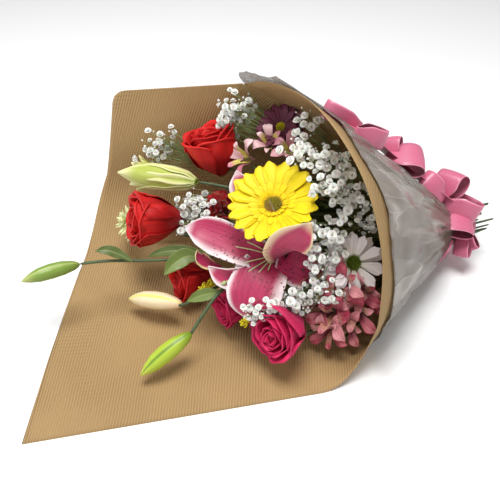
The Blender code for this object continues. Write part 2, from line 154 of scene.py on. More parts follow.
class Surface:
    """Points, faces and pattern coordinates gathered for one piece."""

    def __init__(self):
        self.points, self.faces, self.marks, self.tints = [], [], [], []

    def grid(self, rows, marks, closed=False, tint=0.5):
        """Adds rows of points. marks are their (u, v), and closed joins the ends of each row."""
        start, count = len(self.points), len(rows[0])
        for row, row_marks in zip(rows, marks):
            self.points.extend(row)
            self.marks.extend(row_marks)
            self.tints.extend([tint] * count)
        for r in range(len(rows) - 1):
            for i in range(count if closed else count - 1):
                j = (i + 1) % count
                low = start + r * count
                self.faces.append((low + i, low + j, low + count + j, low + count + i))

    def piece(self, name, finish, thickness=0.0, weld=0.0, levels=0, back=None):
        """Makes the object, and gives the sheet its thickness. back is the finish of its far side."""
        mesh = bpy.data.meshes.new(name)
        mesh.from_pydata(self.points, [], self.faces)
        uv = mesh.uv_layers.new(name="UVMap")
        for loop, spot in zip(mesh.loops, uv.data):
            spot.uv = self.marks[loop.vertex_index]
        tint = mesh.attributes.new("tint", "FLOAT", "POINT")
        tint.data.foreach_set("value", self.tints)
        mesh.shade_smooth()
        mesh.materials.append(finish)
        made = bpy.data.objects.new(name, mesh)
        bpy.context.scene.collection.objects.link(made)
        if weld:
            join = made.modifiers.new("weld", "WELD")
            join.merge_threshold = weld
        if levels:
            fine = made.modifiers.new("fine", "SUBSURF")
            fine.levels = fine.render_levels = levels
        if thickness:
            shell = made.modifiers.new("thickness", "SOLIDIFY")
            shell.thickness = abs(thickness)
            shell.offset = -1 if thickness < 0 else 0
            if back:
                mesh.materials.append(back)
                shell.material_offset = 1
        return made


def ready(piece, slot, *nodes):
    """The finished piece moves with the bouquet and stands for these solids."""
    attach(piece, "root")
    if nodes:
        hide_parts(*nodes)
    return piece


def wall_y(x):
    """Where the back wall stands, at one x."""
    return 150 * MM - 0.357 * x


def wall_top_z(x):
    """How high the back wall's top edge is, at one x."""
    return 208.5 * MM + 0.134 * x


def paper_section(x, share):
    """(y, z) at a share of the way from the front edge to the top of the back wall, at one x."""
    wall, front = wall_y(x), -139.3 * MM - 0.15 * x
    if share <= FLAT_SHARE:
        t = share / FLAT_SHARE
        near_edge = max(0, 1 - t / 0.3) ** 2
        near_mouth = max(0, x - 5 * MM) / (59 * MM)
        curl = near_edge * near_mouth**2
        return between(front, wall - BEND_RADIUS, t) + CURL_IN * curl, CURL_UP * curl
    if share <= BEND_SHARE:
        turn = (share - FLAT_SHARE) / (BEND_SHARE - FLAT_SHARE) * math.pi / 2
        return wall - BEND_RADIUS * (1 - math.sin(turn)), BEND_RADIUS * (1 - math.cos(turn))
    t = (share - BEND_SHARE) / (1 - BEND_SHARE)
    lean = between(11 * MM, -10 * MM, (x + 112 * MM) / (138 * MM)) * t**2
    return wall + lean, between(BEND_RADIUS, wall_top_z(x), t)


def paper_left_x(share):
    """The sheet's left edge: slanted on the flat, then up the wall to a rounded corner."""
    nodes = [(0, -282), (FLAT_SHARE, -196), (BEND_SHARE, -139), (1, -115)]
    x = along(nodes, share) * MM
    from_top = (1 - share) / (1 - BEND_SHARE) * (wall_top_z(x) - BEND_RADIUS)
    if from_top < CORNER_RADIUS:
        x += CORNER_RADIUS - math.sqrt(CORNER_RADIUS**2 - (CORNER_RADIUS - from_top) ** 2)
    return x


def mouth_x(share):
    """The x at which the flap and the wall become the cone, at a share of the section."""
    return along([(0, 64), (FLAT_SHARE, 36), (1, 26)], share) * MM


SECTION_SHARES = [i / 66 for i in range(66)] + [0.988, 0.994, 0.998, 1.0]
paper_mouth = [Vector((mouth_x(s), *paper_section(mouth_x(s), s))) for s in SECTION_SHARES]
paper_crown = [
    paper_mouth[-1], mm(29, 92, 230), mm(33, 41, 245), mm(36, -14, 252), mm(41, -64, 241),
    mm(47, -106, 213), mm(53, -134, 160), mm(53, -146, 95), paper_mouth[0],
]
paper_mouth += smooth_path(paper_crown, 8)[1:-1]


def tie_ring(radius):
    """The ring at the tie, with each point on the same bearing as its point of the mouth."""
    ring = []
    for p in paper_mouth:
        bearing = math.atan2(p.z - MOUTH_MIDDLE.z, p.y - MOUTH_MIDDLE.y)
        ring.append(TIE + Vector((0, math.cos(bearing), math.sin(bearing))) * radius)
    return ring


paper_tie = tie_ring(PAPER_TIE_RADIUS)


def cone_point(i, t):
    """A share t of the way from point i of the mouth to the same point of the tie."""
    return between(paper_mouth[i], paper_tie[i], t)


def make_paper():
    """The flap and the cone as one welded sheet, with soft buckles in the flap and the wall."""
    sheet = Surface()
    rows, marks = [], []
    lengths = [0.0]
    for a, b in zip(SECTION_SHARES, SECTION_SHARES[1:]):
        before, after = Vector(paper_section(-0.1, a)), Vector(paper_section(-0.1, b))
        lengths.append(lengths[-1] + (after - before).length)
    for column in range(SHEET_COLUMNS + 1):
        across = column / SHEET_COLUMNS
        row, row_marks = [], []
        for share, run in zip(SECTION_SHARES, lengths):
            x = between(paper_left_x(share), mouth_x(share), across)
            y, z = paper_section(x, share)
            spot = Vector((x, y, z))
            away = (1 - across) * ease(share / 0.2) * (1 - ease((share - 0.9) * 12))
            buckle = noise.noise(spot * 14) * BUCKLE * away
            if share < FLAT_SHARE:
                spot.z += max(0, buckle) * ease((share - 0.05) * 8)
            else:
                spot.y += buckle
            row.append(spot)
            straight_x = x - RIB_SLANT * (run - PATTERN_START)
            row_marks.append((straight_x * PATTERN_PER_METRE, run * PATTERN_PER_METRE))
        rows.append(row)
        marks.append(row_marks)
    sheet.grid(rows, marks)
    count = len(paper_mouth)
    turn, turns = 0.0, []
    for i in range(count):
        turns.append(turn)
        step = (paper_mouth[(i + 1) % count] - paper_mouth[i]).length
        turn += step / (paper_mouth[i] - CONE_APEX).length
    rows, marks = [], []
    for k in range(CONE_ROWS + 3):
        t = k / CONE_ROWS
        row, row_marks = [], []
        for i in range(count):
            spot = cone_point(i, min(1, t))
            if t > 1:
                spot = spot + Vector((PAPER_UNDER_RIBBON * (t - 1) * 10, 0, 0))
            reach = (spot - CONE_APEX).length * PATTERN_PER_METRE
            bearing = turns[i] + CONE_PATTERN_TURN
            row.append(spot)
            row_marks.append((reach * math.cos(bearing), reach * math.sin(bearing)))
        rows.append(row)
        marks.append(row_marks)
    sheet.grid(rows, marks, closed=True)
    return sheet


def kraft_paper():
    """Kraft paper, machine glazed and embossed with ribs: matt, warm tan, fibres in two tones, with painted
    shade darkening the rib grooves.
    """
    made, tree, shader = new_material("ribbed_kraft_paper", 0.72)
    shader.inputs["Specular IOR Level"].default_value = 0.25
    uv = add(tree, "UVMap", {"uv_map": "UVMap"}).outputs[0]
    place = add(tree, "TexCoord").outputs["Object"]
    parts = add(tree, "SeparateXYZ", inputs={0: uv})
    waver = add(tree, "TexNoise", inputs={"Vector": place, "Scale": 26, "Detail": 2})
    wavering = add(tree, "Math", {"operation": "MULTIPLY_ADD"},
                   {0: waver.outputs["Fac"], 1: 0.012, 2: parts.outputs["X"]})
    per_rib = 2 * math.pi * 1000 / PATTERN_PER_METRE / RIB_PITCH
    angle = add(tree, "Math", {"operation": "MULTIPLY"}, {0: wavering.outputs[0], 1: per_rib})
    rib = add(tree, "Math", {"operation": "SINE"}, {0: angle.outputs[0]})
    across = add(tree, "Math", {"operation": "MULTIPLY"},
                 {0: parts.outputs["Y"], 1: per_rib * 0.62})
    cross_rib = add(tree, "Math", {"operation": "SINE"}, {0: across.outputs[0]})
    patches = add(tree, "TexNoise", inputs={"Vector": place, "Scale": 11, "Detail": 3})
    where_ribbed = add(tree, "MapRange", {"interpolation_type": "SMOOTHSTEP"}, {
        "Value": patches.outputs["Fac"], "From Min": 0.36, "From Max": 0.58,
        "To Min": 0.35, "To Max": 1.0})
    where_crossed = add(tree, "MapRange", {"interpolation_type": "SMOOTHSTEP"}, {
        "Value": patches.outputs["Fac"], "From Min": 0.52, "From Max": 0.66,
        "To Min": 0.0, "To Max": 0.6})
    ribs = add(tree, "Math", {"operation": "MULTIPLY"}, {0: rib.outputs[0], 1: where_ribbed.outputs[0]})
    crossed = add(tree, "Math", {"operation": "MULTIPLY"},
                  {0: cross_rib.outputs[0], 1: where_crossed.outputs[0]})
    relief = add(tree, "Math", {"operation": "ADD"}, {0: ribs.outputs[0], 1: crossed.outputs[0]})
    fibres = add(tree, "TexNoise", inputs={"Vector": place, "Scale": 900, "Detail": 3})
    tone = add(tree, "TexNoise", inputs={"Vector": place, "Scale": 7, "Detail": 4})
    paper = add(tree, "Mix", {"data_type": "RGBA"}, {
        0: tone.outputs["Fac"], 6: hex_colour("#A8875A"), 7: hex_colour("#BC9C6E")})
    # Painted shade: the colour darkens in the rib grooves and lightens on the crests, on top of the bump.
    groove = add(tree, "MapRange", inputs={
        "Value": relief.outputs[0], "From Min": -1.0, "From Max": 0.9, "To Min": 0.76, "To Max": 1.04})
    fleck = add(tree, "MapRange", inputs={
        "Value": fibres.outputs["Fac"], "From Min": 0.3, "From Max": 0.7, "To Min": 0.94, "To Max": 1.05})
    painted_groove_shade_and_flecks = add(tree, "Math", {"operation": "MULTIPLY"}, {0: groove.outputs[0], 1: fleck.outputs[0]})
    colour = add(tree, "Mix", {"data_type": "RGBA", "blend_type": "MULTIPLY"}, {
        0: 1.0, 6: paper.outputs[2], 7: painted_groove_shade_and_flecks.outputs[0]})
    tree.links.new(colour.outputs[2], shader.inputs["Base Color"])
    creases = add(tree, "TexNoise", {"noise_type": "RIDGED_MULTIFRACTAL"},
                  {"Vector": place, "Scale": 16, "Detail": 3})
    height = add(tree, "Math", {"operation": "MULTIPLY_ADD"},
                 {0: creases.outputs["Fac"], 1: 0.5, 2: relief.outputs[0]})
    bump = add(tree, "Bump", inputs={"Strength": 0.55, "Distance": 0.0005, "Height": height.outputs[0]})
    tree.links.new(bump.outputs[0], shader.inputs["Normal"])
    return made


paper_wrap = make_paper().piece("kraft_paper_wrap", kraft_paper(), -PAPER_THICKNESS,
                                weld=WELD_DISTANCE)
ready(paper_wrap, "kraft_paper", "kraft_wrap")

# ---- Clear film over the cone --------------------------------------------------------------
# A sheet of frosted clear film, crumpled by hand round the paper cone. It starts a little behind
# the paper's mouth, stands up past it at the back, and is gathered in pleats under the ribbon.

FILM_GAP = 1.9 * MM
FILM_THICKNESS = 0.15 * MM
PLEATS = 34
PLEAT_DEPTH = 1.1 * MM
FOLD_HEIGHT, FINE_FOLD_HEIGHT = 9 * MM, 3.5 * MM
FILM_ROWS = 44
FILM_UNDER_RIBBON_STEP = 14 * MM
FILM_LOWEST = 0.4 * MM  # no point of the film goes below this height


def make_film():
    """The crumpled sheet from its free rim to the tie, pleated as it nears the ribbon."""
    film = Surface()
    count = len(paper_mouth)
    ring_length, runs = 0.0, []
    for i in range(count):
        runs.append(ring_length)
        ring_length += (paper_mouth[(i + 1) % count] - paper_mouth[i]).length
    rows, marks = [], []
    for k in range(FILM_ROWS + 3):
        share = min(1, k / FILM_ROWS)
        row, row_marks = [], []
        for i in range(count):
            p = paper_mouth[i]
            way = (paper_mouth[(i + 1) % count] - paper_mouth[i - 1]).normalized()
            out = Vector((0.25, way.z, -way.y)).normalized()
            angle = runs[i] / ring_length * 2 * math.pi
            at_back = ease((p.z / MM - 185) / 30) * ease((p.y / MM + 10) / 60)
            start = between(0.095, -0.035, at_back) + 0.018 * math.sin(angle * 9)
            t = between(start, 1, share)
            spot = cone_point(i, t)
            fold = noise.noise(Vector((angle * 4.2, t * 2.2, 3.0)))
            fine = noise.noise(Vector((angle * 11, t * 5, 9.0)))
            body = ease(share * 5) * (1 - ease((share - 0.55) * 2.2))
            slack = 1 - ease((share - 0.7) * 3)
            puff = abs(fold) * FOLD_HEIGHT * body + abs(fine) * FINE_FOLD_HEIGHT * slack
            puff *= 0.25 + 0.75 * ease((p.z / MM - 30) / 60)  # it lies close underneath
            pleat = PLEAT_DEPTH * math.sin(angle * PLEATS) * ease((share - 0.45) * 2.5)
            spot = spot + out * (FILM_GAP + puff + max(0, pleat))
            if k > FILM_ROWS:
                spot = spot + Vector((FILM_UNDER_RIBBON_STEP * (k - FILM_ROWS), 0, 0))
            spot.z = max(spot.z, FILM_LOWEST)
            row.append(spot)
            row_marks.append((runs[i] * 8, t * 2.4))
        rows.append(row)
        marks.append(row_marks)
    film.grid(rows, marks, closed=True)
    return film


def clear_film():
    """Frosted polypropylene film, cast and crumpled: a grey sheet whose colour is painted light and shade,
    dark in the fold valleys and lighter on some facets, with white glints painted along the creases.
    """
    made, tree, shader = new_material("frosted_clear_film", 0.20, IOR=1.49)
    uv = add(tree, "UVMap", {"uv_map": "UVMap"}).outputs[0]
    drawn = add(tree, "Mapping", inputs={"Vector": uv, "Scale": (3.0, 1.0, 1.0)})
    crumple = add(tree, "TexNoise", {"noise_type": "RIDGED_MULTIFRACTAL"},
                  {"Vector": drawn.outputs[0], "Scale": 1.5, "Detail": 2, "Distortion": 0.8})
    soft = add(tree, "TexNoise", inputs={"Vector": drawn.outputs[0], "Scale": 1.7, "Detail": 2})
    bent = add(tree, "VectorMath", {"operation": "MULTIPLY_ADD"},
               {0: soft.outputs["Color"], 1: (0.2, 0.2, 0.2), 2: uv})
    facet_place = add(tree, "Mapping", inputs={"Vector": bent.outputs[0], "Scale": (2.5, 0.6, 1.0)})
    facets = add(tree, "TexVoronoi", inputs={"Vector": facet_place.outputs[0], "Scale": 1.6})
    edges = add(tree, "TexVoronoi", {"feature": "DISTANCE_TO_EDGE"},
                {"Vector": facet_place.outputs[0], "Scale": 1.6})
    tones = add(tree, "SeparateColor", inputs={0: facets.outputs["Color"]})
    # Painted highlight: the creases along the facets' edges are painted white.
    crease = add(tree, "MapRange", {"interpolation_type": "SMOOTHSTEP"}, {
        "Value": edges.outputs["Distance"], "From Min": 0.0, "From Max": 0.03, "To Min": 0.3, "To Max": 0})
    faint = add(tree, "Math", {"operation": "MULTIPLY"}, {0: tones.outputs[0], 1: 0.6})
    streaked = add(tree, "Math", {"operation": "MULTIPLY_ADD"},
                   {0: crumple.outputs["Fac"], 1: 0.65, 2: faint.outputs[0]})
    painted_crease_glint = add(tree, "Math", {"operation": "MULTIPLY"}, {0: crease.outputs[0], 1: streaked.outputs[0]})
    folded = add(tree, "Math", {"operation": "ADD"}, {0: streaked.outputs[0], 1: painted_crease_glint.outputs[0]})
    level = add(tree, "MapRange", inputs={
        "Value": folded.outputs[0], "From Min": 0.1, "From Max": 1.5, "To Min": 0, "To Max": 1})
    # Painted light and shade: the ramp runs from dark fold shade to white painted glints.
    ramp = add(tree, "ValToRGB", inputs={"Fac": level.outputs[0]})
    ramp.color_ramp.elements[0].color = hex_colour("#7E7266")
    ramp.color_ramp.elements[1].color = hex_colour("#FFFFFF")
    for spot, code in [(0.3, "#A0958A"), (0.5, "#C8C1B8"), (0.7, "#ECE9E5")]:
        ramp.color_ramp.elements.new(spot).color = hex_colour(code)
    tree.links.new(ramp.outputs["Color"], shader.inputs["Base Color"])
    cover = add(tree, "MapRange", inputs={
        "Value": level.outputs[0], "From Min": 0.1, "From Max": 0.8, "To Min": 0.58, "To Max": 0.92})
    tree.links.new(cover.outputs[0], shader.inputs["Alpha"])
    relief = add(tree, "Math", {"operation": "MULTIPLY_ADD"},
                 {0: facets.outputs["Distance"], 1: 1.2, 2: crumple.outputs["Fac"]})
    bump = add(tree, "Bump", inputs={"Strength": 0.8, "Distance": 0.003, "Height": relief.outputs[0]})
    tree.links.new(bump.outputs[0], shader.inputs["Normal"])
    return made


film_piece = make_film().piece("clear_film_wrap", clear_film(), FILM_THICKNESS)
ready(film_piece, "clear_film", "film_wrap")

# ---- Satin ribbon and bow ------------------------------------------------------------------
# Pink woven-edge satin ribbon. A band 26 mm wide holds the wrap at the tie. The rest is gathered
# into loops, each pinched at its root, on a run of ribbon that goes up the back of the cone.


def satin_ribbon(name, roughness, dark, light, selvedge_colour):
    """Polyester satin: floating warp threads give the face a long soft highlight, the back is dull."""
    made, tree, shader = new_material(name, roughness, Anisotropic=0.7)
    shader.inputs["Specular IOR Level"].default_value = 0.7
    weave_way = add(tree, "Tangent", {"direction_type": "UV_MAP", "uv_map": "UVMap"})
    tree.links.new(weave_way.outputs[0], shader.inputs["Tangent"])
    uv = add(tree, "UVMap", {"uv_map": "UVMap"}).outputs[0]
    parts = add(tree, "SeparateXYZ", inputs={0: uv})
    edge = add(tree, "Math", {"operation": "PINGPONG"}, {0: parts.outputs["X"], 1: 0.5})
    selvedge = add(tree, "MapRange", {"interpolation_type": "SMOOTHSTEP"}, {
        "Value": edge.outputs[0], "From Min": 0.03, "From Max": 0.055, "To Min": 1, "To Max": 0})
    stretched = add(tree, "Mapping", inputs={"Vector": uv, "Scale": (90.0, 3.0, 1.0)})
    threads = add(tree, "TexNoise", inputs={"Vector": stretched.outputs[0], "Scale": 1, "Detail": 2})
    # The threads' two tones are partly the weave's own and partly painted sheen and shade, spread wide for
    # the satin's contrast.
    satin = add(tree, "Mix", {"data_type": "RGBA"}, {
        0: threads.outputs["Fac"], 6: hex_colour(dark), 7: hex_colour(light)})
    colour = add(tree, "Mix", {"data_type": "RGBA"}, {
        0: selvedge.outputs[0], 6: satin.outputs[2], 7: hex_colour(selvedge_colour)})
    tree.links.new(colour.outputs[2], shader.inputs["Base Color"])
    bump = add(tree, "Bump", inputs={"Strength": 0.25, "Distance": 0.0002, "Height": threads.outputs["Fac"]})
    tree.links.new(bump.outputs[0], shader.inputs["Normal"])
    return made


ribbon_finish = satin_ribbon("pink_satin_face", 0.36, "#C85A7C", "#E0809C", "#EA98AE")
# The back's colours are darker than the face's: painted shade for the insides of the loops, besides its
# duller finish.
shaded_ribbon_back = satin_ribbon("pink_satin_back_painted_shade", 0.6, "#A04460", "#BC5E78", "#CC748C")
RIBBON_THICKNESS = 0.4 * MM
SOLID_LOOPS = 9  # the two after these are the ribbon's short folded tails
BAND_WIDTH, BAND_PLEAT = 26, 0.9 * MM
RUN_WIDTH, RUN_LIFT = 22 * MM, 1.5 * MM
BAND_RADIUS = 27.6 * MM
BOW_OUT = Vector((0.65, 0.33, 0.64))  # straight off the back of the cone
BOW_ALONG = Vector((0.67, -0.59, -0.38))  # down the cone towards the tie
BOW_FACE = Vector((-0.26, -0.72, 0.64))  # the way the bow faces
BOW_LOOPS = [
    # root, way out, width axis, length and width in mm, fullness
    ((113, 26, 195), Vector((-0.82, 0.24, 0.47)), BOW_OUT * 0.95 + BOW_FACE * 0.25, 46, 20, 0.20),
    ((89, -3, 210), Vector((0.88, 0.08, -0.46)), BOW_OUT * 0.9 + BOW_FACE * 0.3, 42, 20, 0.24),
    ((171, 46, 131), BOW_OUT * 0.9 - BOW_ALONG * 0.45, BOW_ALONG * 0.8 + BOW_FACE * 0.4, 26, 22, 0.25),
    ((162, 44, 135), BOW_ALONG * 0.8 + BOW_OUT * 0.35, BOW_FACE * 0.7 - BOW_OUT * 0.7, 44, 38, 0.34),
    ((224, 5, 86), BOW_OUT * 0.2 - BOW_ALONG * 0.9 + BOW_FACE * 0.2, BOW_OUT - BOW_FACE * 0.15,
     38, 28, 0.30),
    ((232, 14, 81), BOW_OUT, BOW_FACE * 0.75 + BOW_ALONG * 0.65, 36, 32, 0.46),
    ((227, 12, 80), BOW_ALONG * 0.9 + BOW_OUT * 0.1, BOW_OUT * 0.85 + BOW_FACE * 0.35, 46, 38, 0.34),
    ((208, -8, 67), BOW_ALONG * 0.9 + BOW_OUT * 0.35, BOW_FACE * 0.7 - BOW_OUT * 0.7, 46, 26, 0.24),
    ((248, -19, 50), BOW_ALONG * 0.35 - BOW_OUT * 0.9, BOW_FACE * 0.5 + BOW_ALONG * 0.7, 28, 20, 0.22),
    ((252, -15, 52), BOW_ALONG * 0.75 - BOW_OUT * 0.55, BOW_FACE * 0.8 + BOW_OUT * 0.3, 26, 20, 0.20),
    ((228, -22, 48), -BOW_OUT - BOW_ALONG * 0.2, BOW_ALONG + BOW_FACE * 0.3, 30, 16, 0.15),
]


def make_loop(root, way, axis, length, width, fullness, skew):
    """A closed loop with its pinched tip at root. skew turns its width as it goes round."""
    way = way.normalized()
    axis = (axis - way * axis.dot(way)).normalized()
    side = way.cross(axis)
    loop, rows, marks = Surface(), [], []
    for i in range(49):
        turn = 2 * math.pi * i / 48
        reach = (1 - math.cos(turn)) / 2
        belly = math.sin(turn) * fullness * (0.40 + 0.60 * reach)
        middle = root + (way * reach + side * belly) * length * MM
        lie = (axis + (side * math.sin(turn) + way * 0.3) * skew).normalized()
        half = width / 2 * MM * between(0.42, 1, ease(reach * 2.2))
        row, row_marks = [], []
        for k in range(9):
            u = k / 8 * 2 - 1
            crown = (1 - u * u) * 1.2 * MM * math.sin(turn / 2)
            row.append(middle + lie * half * u + (side * math.sin(turn) - way * math.cos(turn)) * crown)
            row_marks.append((k / 8, i / 48 * 3))
        rows.append(row)
        marks.append(row_marks)
    loop.grid(rows, marks)
    return loop


for number, (root, way, axis, length, width, fullness) in enumerate(BOW_LOOPS, 1):
    skew = 0.22 if number % 2 else -0.18
    loop = make_loop(mm(*root), way, axis, length, width, fullness, skew)
    made = loop.piece("ribbon_loop_%d" % number, shaded_ribbon_back, RIBBON_THICKNESS, WELD_DISTANCE,
                      back=ribbon_finish)
    ready(made, "satin_ribbon", *(["bow_loop_%d" % number] if number <= SOLID_LOOPS else []))

run_points = [(264, 10, 62), (230, 9, 86), (171, 42, 134), (110, 25, 191), (84, -3, 208)]
run_line = smooth_path([mm(*p) for p in run_points], 12)
run_under, rows, marks = Surface(), [], []
for i, p in enumerate(run_line):
    ahead = (run_line[min(i + 1, len(run_line) - 1)] - run_line[max(i - 1, 0)]).normalized()
    across = ahead.cross(BOW_OUT).normalized()
    rows.append([p + BOW_OUT * RUN_LIFT + across * RUN_WIDTH * (k / 6 - 0.5) for k in range(7)])
    marks.append([(k / 6, i / 12) for k in range(7)])
run_under.grid(rows, marks)
ready(run_under.piece("ribbon_run_under_loops", ribbon_finish, RIBBON_THICKNESS), "satin_ribbon")

band = Surface()
band_rows, band_marks = [], []
for k in range(15):
    row, row_marks = [], []
    for i in range(96):
        turn = 2 * math.pi * i / 96
        gather = BAND_PLEAT * math.sin(k / 14 * math.pi * 5 + 1.6 * math.sin(turn * 2))
        side = Vector((0, math.cos(turn), math.sin(turn)))
        row.append(TIE + mm(BAND_WIDTH, 0, 0) * (k / 14) + side * (BAND_RADIUS + gather))
        row_marks.append((k / 14, i / 96 * 6))
    band_rows.append(row)
    band_marks.append(row_marks)
band.grid(band_rows, band_marks, closed=True)
ready(band.piece("ribbon_tie_band", ribbon_finish, RIBBON_THICKNESS), "satin_ribbon", "ribbon_band")

# ---- Stems ---------------------------------------------------------------------------------
# Round green flower stems, cut at the foot, close packed under the ribbon and fanned out to the
# flower heads. Each follows its solid, with the facets smoothed away. The low bud's is made below.


def fresh_stem():
    """Living stem with a waxy bloom: dull mid green, darker and browner in streaks along it."""
    made, tree, shader = new_material("fresh_green_stem", 0.48)
    place = add(tree, "TexCoord").outputs["Object"]
    drawn = add(tree, "Mapping", inputs={"Vector": place, "Scale": (25.0, 260.0, 260.0)})
    streaks = add(tree, "TexNoise", inputs={"Vector": drawn.outputs[0], "Scale": 1, "Detail": 3})
    colour = add(tree, "Mix", {"data_type": "RGBA"}, {
        0: streaks.outputs["Fac"], 6: hex_colour("#2C3A26"), 7: hex_colour("#5A6E44")})
    tree.links.new(colour.outputs[2], shader.inputs["Base Color"])
    bump = add(tree, "Bump", inputs={"Strength": 0.3, "Distance": 0.0003, "Height": streaks.outputs["Fac"]})
    tree.links.new(bump.outputs[0], shader.inputs["Normal"])
    return made


stem_finish = fresh_stem()
stem_nodes = [n for n in sorted(bpy.data.objects.keys())
              if n.endswith(("_stem", "_stalk")) and n != "low_bud_stalk"]
for node in stem_nodes:
    mesh = bpy.data.objects[node].data.copy()
    mesh.name = node + "_smooth"
    mesh.materials.clear()
    mesh.materials.append(stem_finish)
    mesh.shade_smooth()
    stem = bpy.data.objects.new(node + "_round", mesh)
    bpy.context.scene.collection.objects.link(stem)
    join = stem.modifiers.new("weld", "WELD")
    join.merge_threshold = WELD_DISTANCE
    fine = stem.modifiers.new("round", "SUBSURF")
    fine.levels = fine.render_levels = 1
    ready(stem, "green_stem", node)

# ---- Petals and leaves ---------------------------------------------------------------------
# The lily, the opening bud, the alstroemerias and the leaves are all soft blades: a centre line
# with a width that swells and tapers, edges that lift into a cup, and a waver along the rim.


def add_blade(surface, line, widths, normal, cup=0.2, waver=0.0, waves=3, columns=10, tint=0.5, fold=0.0):
    """A blade along a centre line. widths are (share, mm) and normal is its upper side."""
    steps = 7
    path = smooth_path([mm(*p) for p in line], steps)
    normal = Vector(normal).normalized()
    rows, marks = [], []
    for i, p in enumerate(path):
        t = i / (len(path) - 1)
        run = (path[min(i + 1, len(path) - 1)] - path[max(i - 1, 0)]).normalized()
        side = run.cross(normal).normalized()
        top = side.cross(run).normalized()
        half = along(widths, t) / 2 * MM
        row, row_marks = [], []
        for k in range(columns + 1):
            u = k / columns * 2 - 1
            lift = half * (cup * u * u + fold * abs(u))
            phase = t * math.pi * 2 * waves + (1.3 if u > 0 else 0) + tint * 5
            ripple = waver * MM * u * u * math.sin(phase)
            row.append(p + side * half * u + top * (lift + ripple * ease(t * 4)))
            row_marks.append((k / columns, t))
        rows.append(row)
        marks.append(row_marks)
    surface.grid(rows, marks, tint=tint)


# ---- Open lily -----------------------------------------------------------------------------
# An oriental lily: six thick waxy petals that meet in a throat and bend back, magenta down the
# middle, white along the wavy rim and freckled near the throat, with six filaments and a pistil.

PETAL_THICKNESS = 0.7 * MM
PETAL_SWELL = [(0, 8), (0.2, 20), (0.42, 31), (0.6, 32), (0.76, 25), (0.88, 14), (0.96, 6), (1, 1)]
LILY_PETALS = [
    # centre line, widest mm against the usual 32, upper side, cup, waver
    ([(12, -24, 82), (-14, -30, 98), (-46, -9, 110), (-70, 9, 118), (-84, 20, 118)],
     1.24, (-0.25, -0.55, 0.8), 0.16, 1.6),
    ([(12, -20, 88), (2, 4, 118), (-11, 16, 138), (-21, 26, 154), (-22, 36, 164)],
     1.0, (-0.6, -0.35, 0.7), 0.2, 1.6),
    ([(14, -26, 84), (0, -38, 102), (-8, -62, 134), (0, -76, 156), (12, -76, 168)],
     1.25, (-0.20, -0.85, 0.30), 0.10, 1.8),
    ([(14, -28, 80), (-10, -38, 95), (-31, -53, 88), (-42, -65, 70), (-38, -68, 50)],
     1.85, (-0.45, -0.45, 0.75), 0.08, 2.6),
    ([(8, -24, 78), (-26, -32, 84), (-48, -33, 82), (-62, -27, 85), (-72, -17, 92)],
     0.72, (-0.3, -0.8, 0.45), 0.5, 1.2),
    ([(14, -28, 80), (4, -40, 98), (14, -50, 98), (26, -58, 88), (32, -63, 74)],
     1.6, (-0.1, -0.65, 0.75), 0.12, 1.8),
    ([(-58, -16, 84), (-68, -12, 88), (-77, -8, 94), (-80, -6, 101), (-77, -2, 104)],
     0.5, (0.6, -0.7, 0.3), 0.5, 0.6),
]
CREAM_PETALS = {2: 0.8, 6: 1.0}  # how much of the pink rim of each is cream instead
lily = Surface()
for number, (line, size, normal, cup, waver) in enumerate(LILY_PETALS):
    widths = [(share, width * size) for share, width in PETAL_SWELL]
    add_blade(lily, line, widths, normal, cup, waver, columns=16, tint=CREAM_PETALS.get(number, 0))


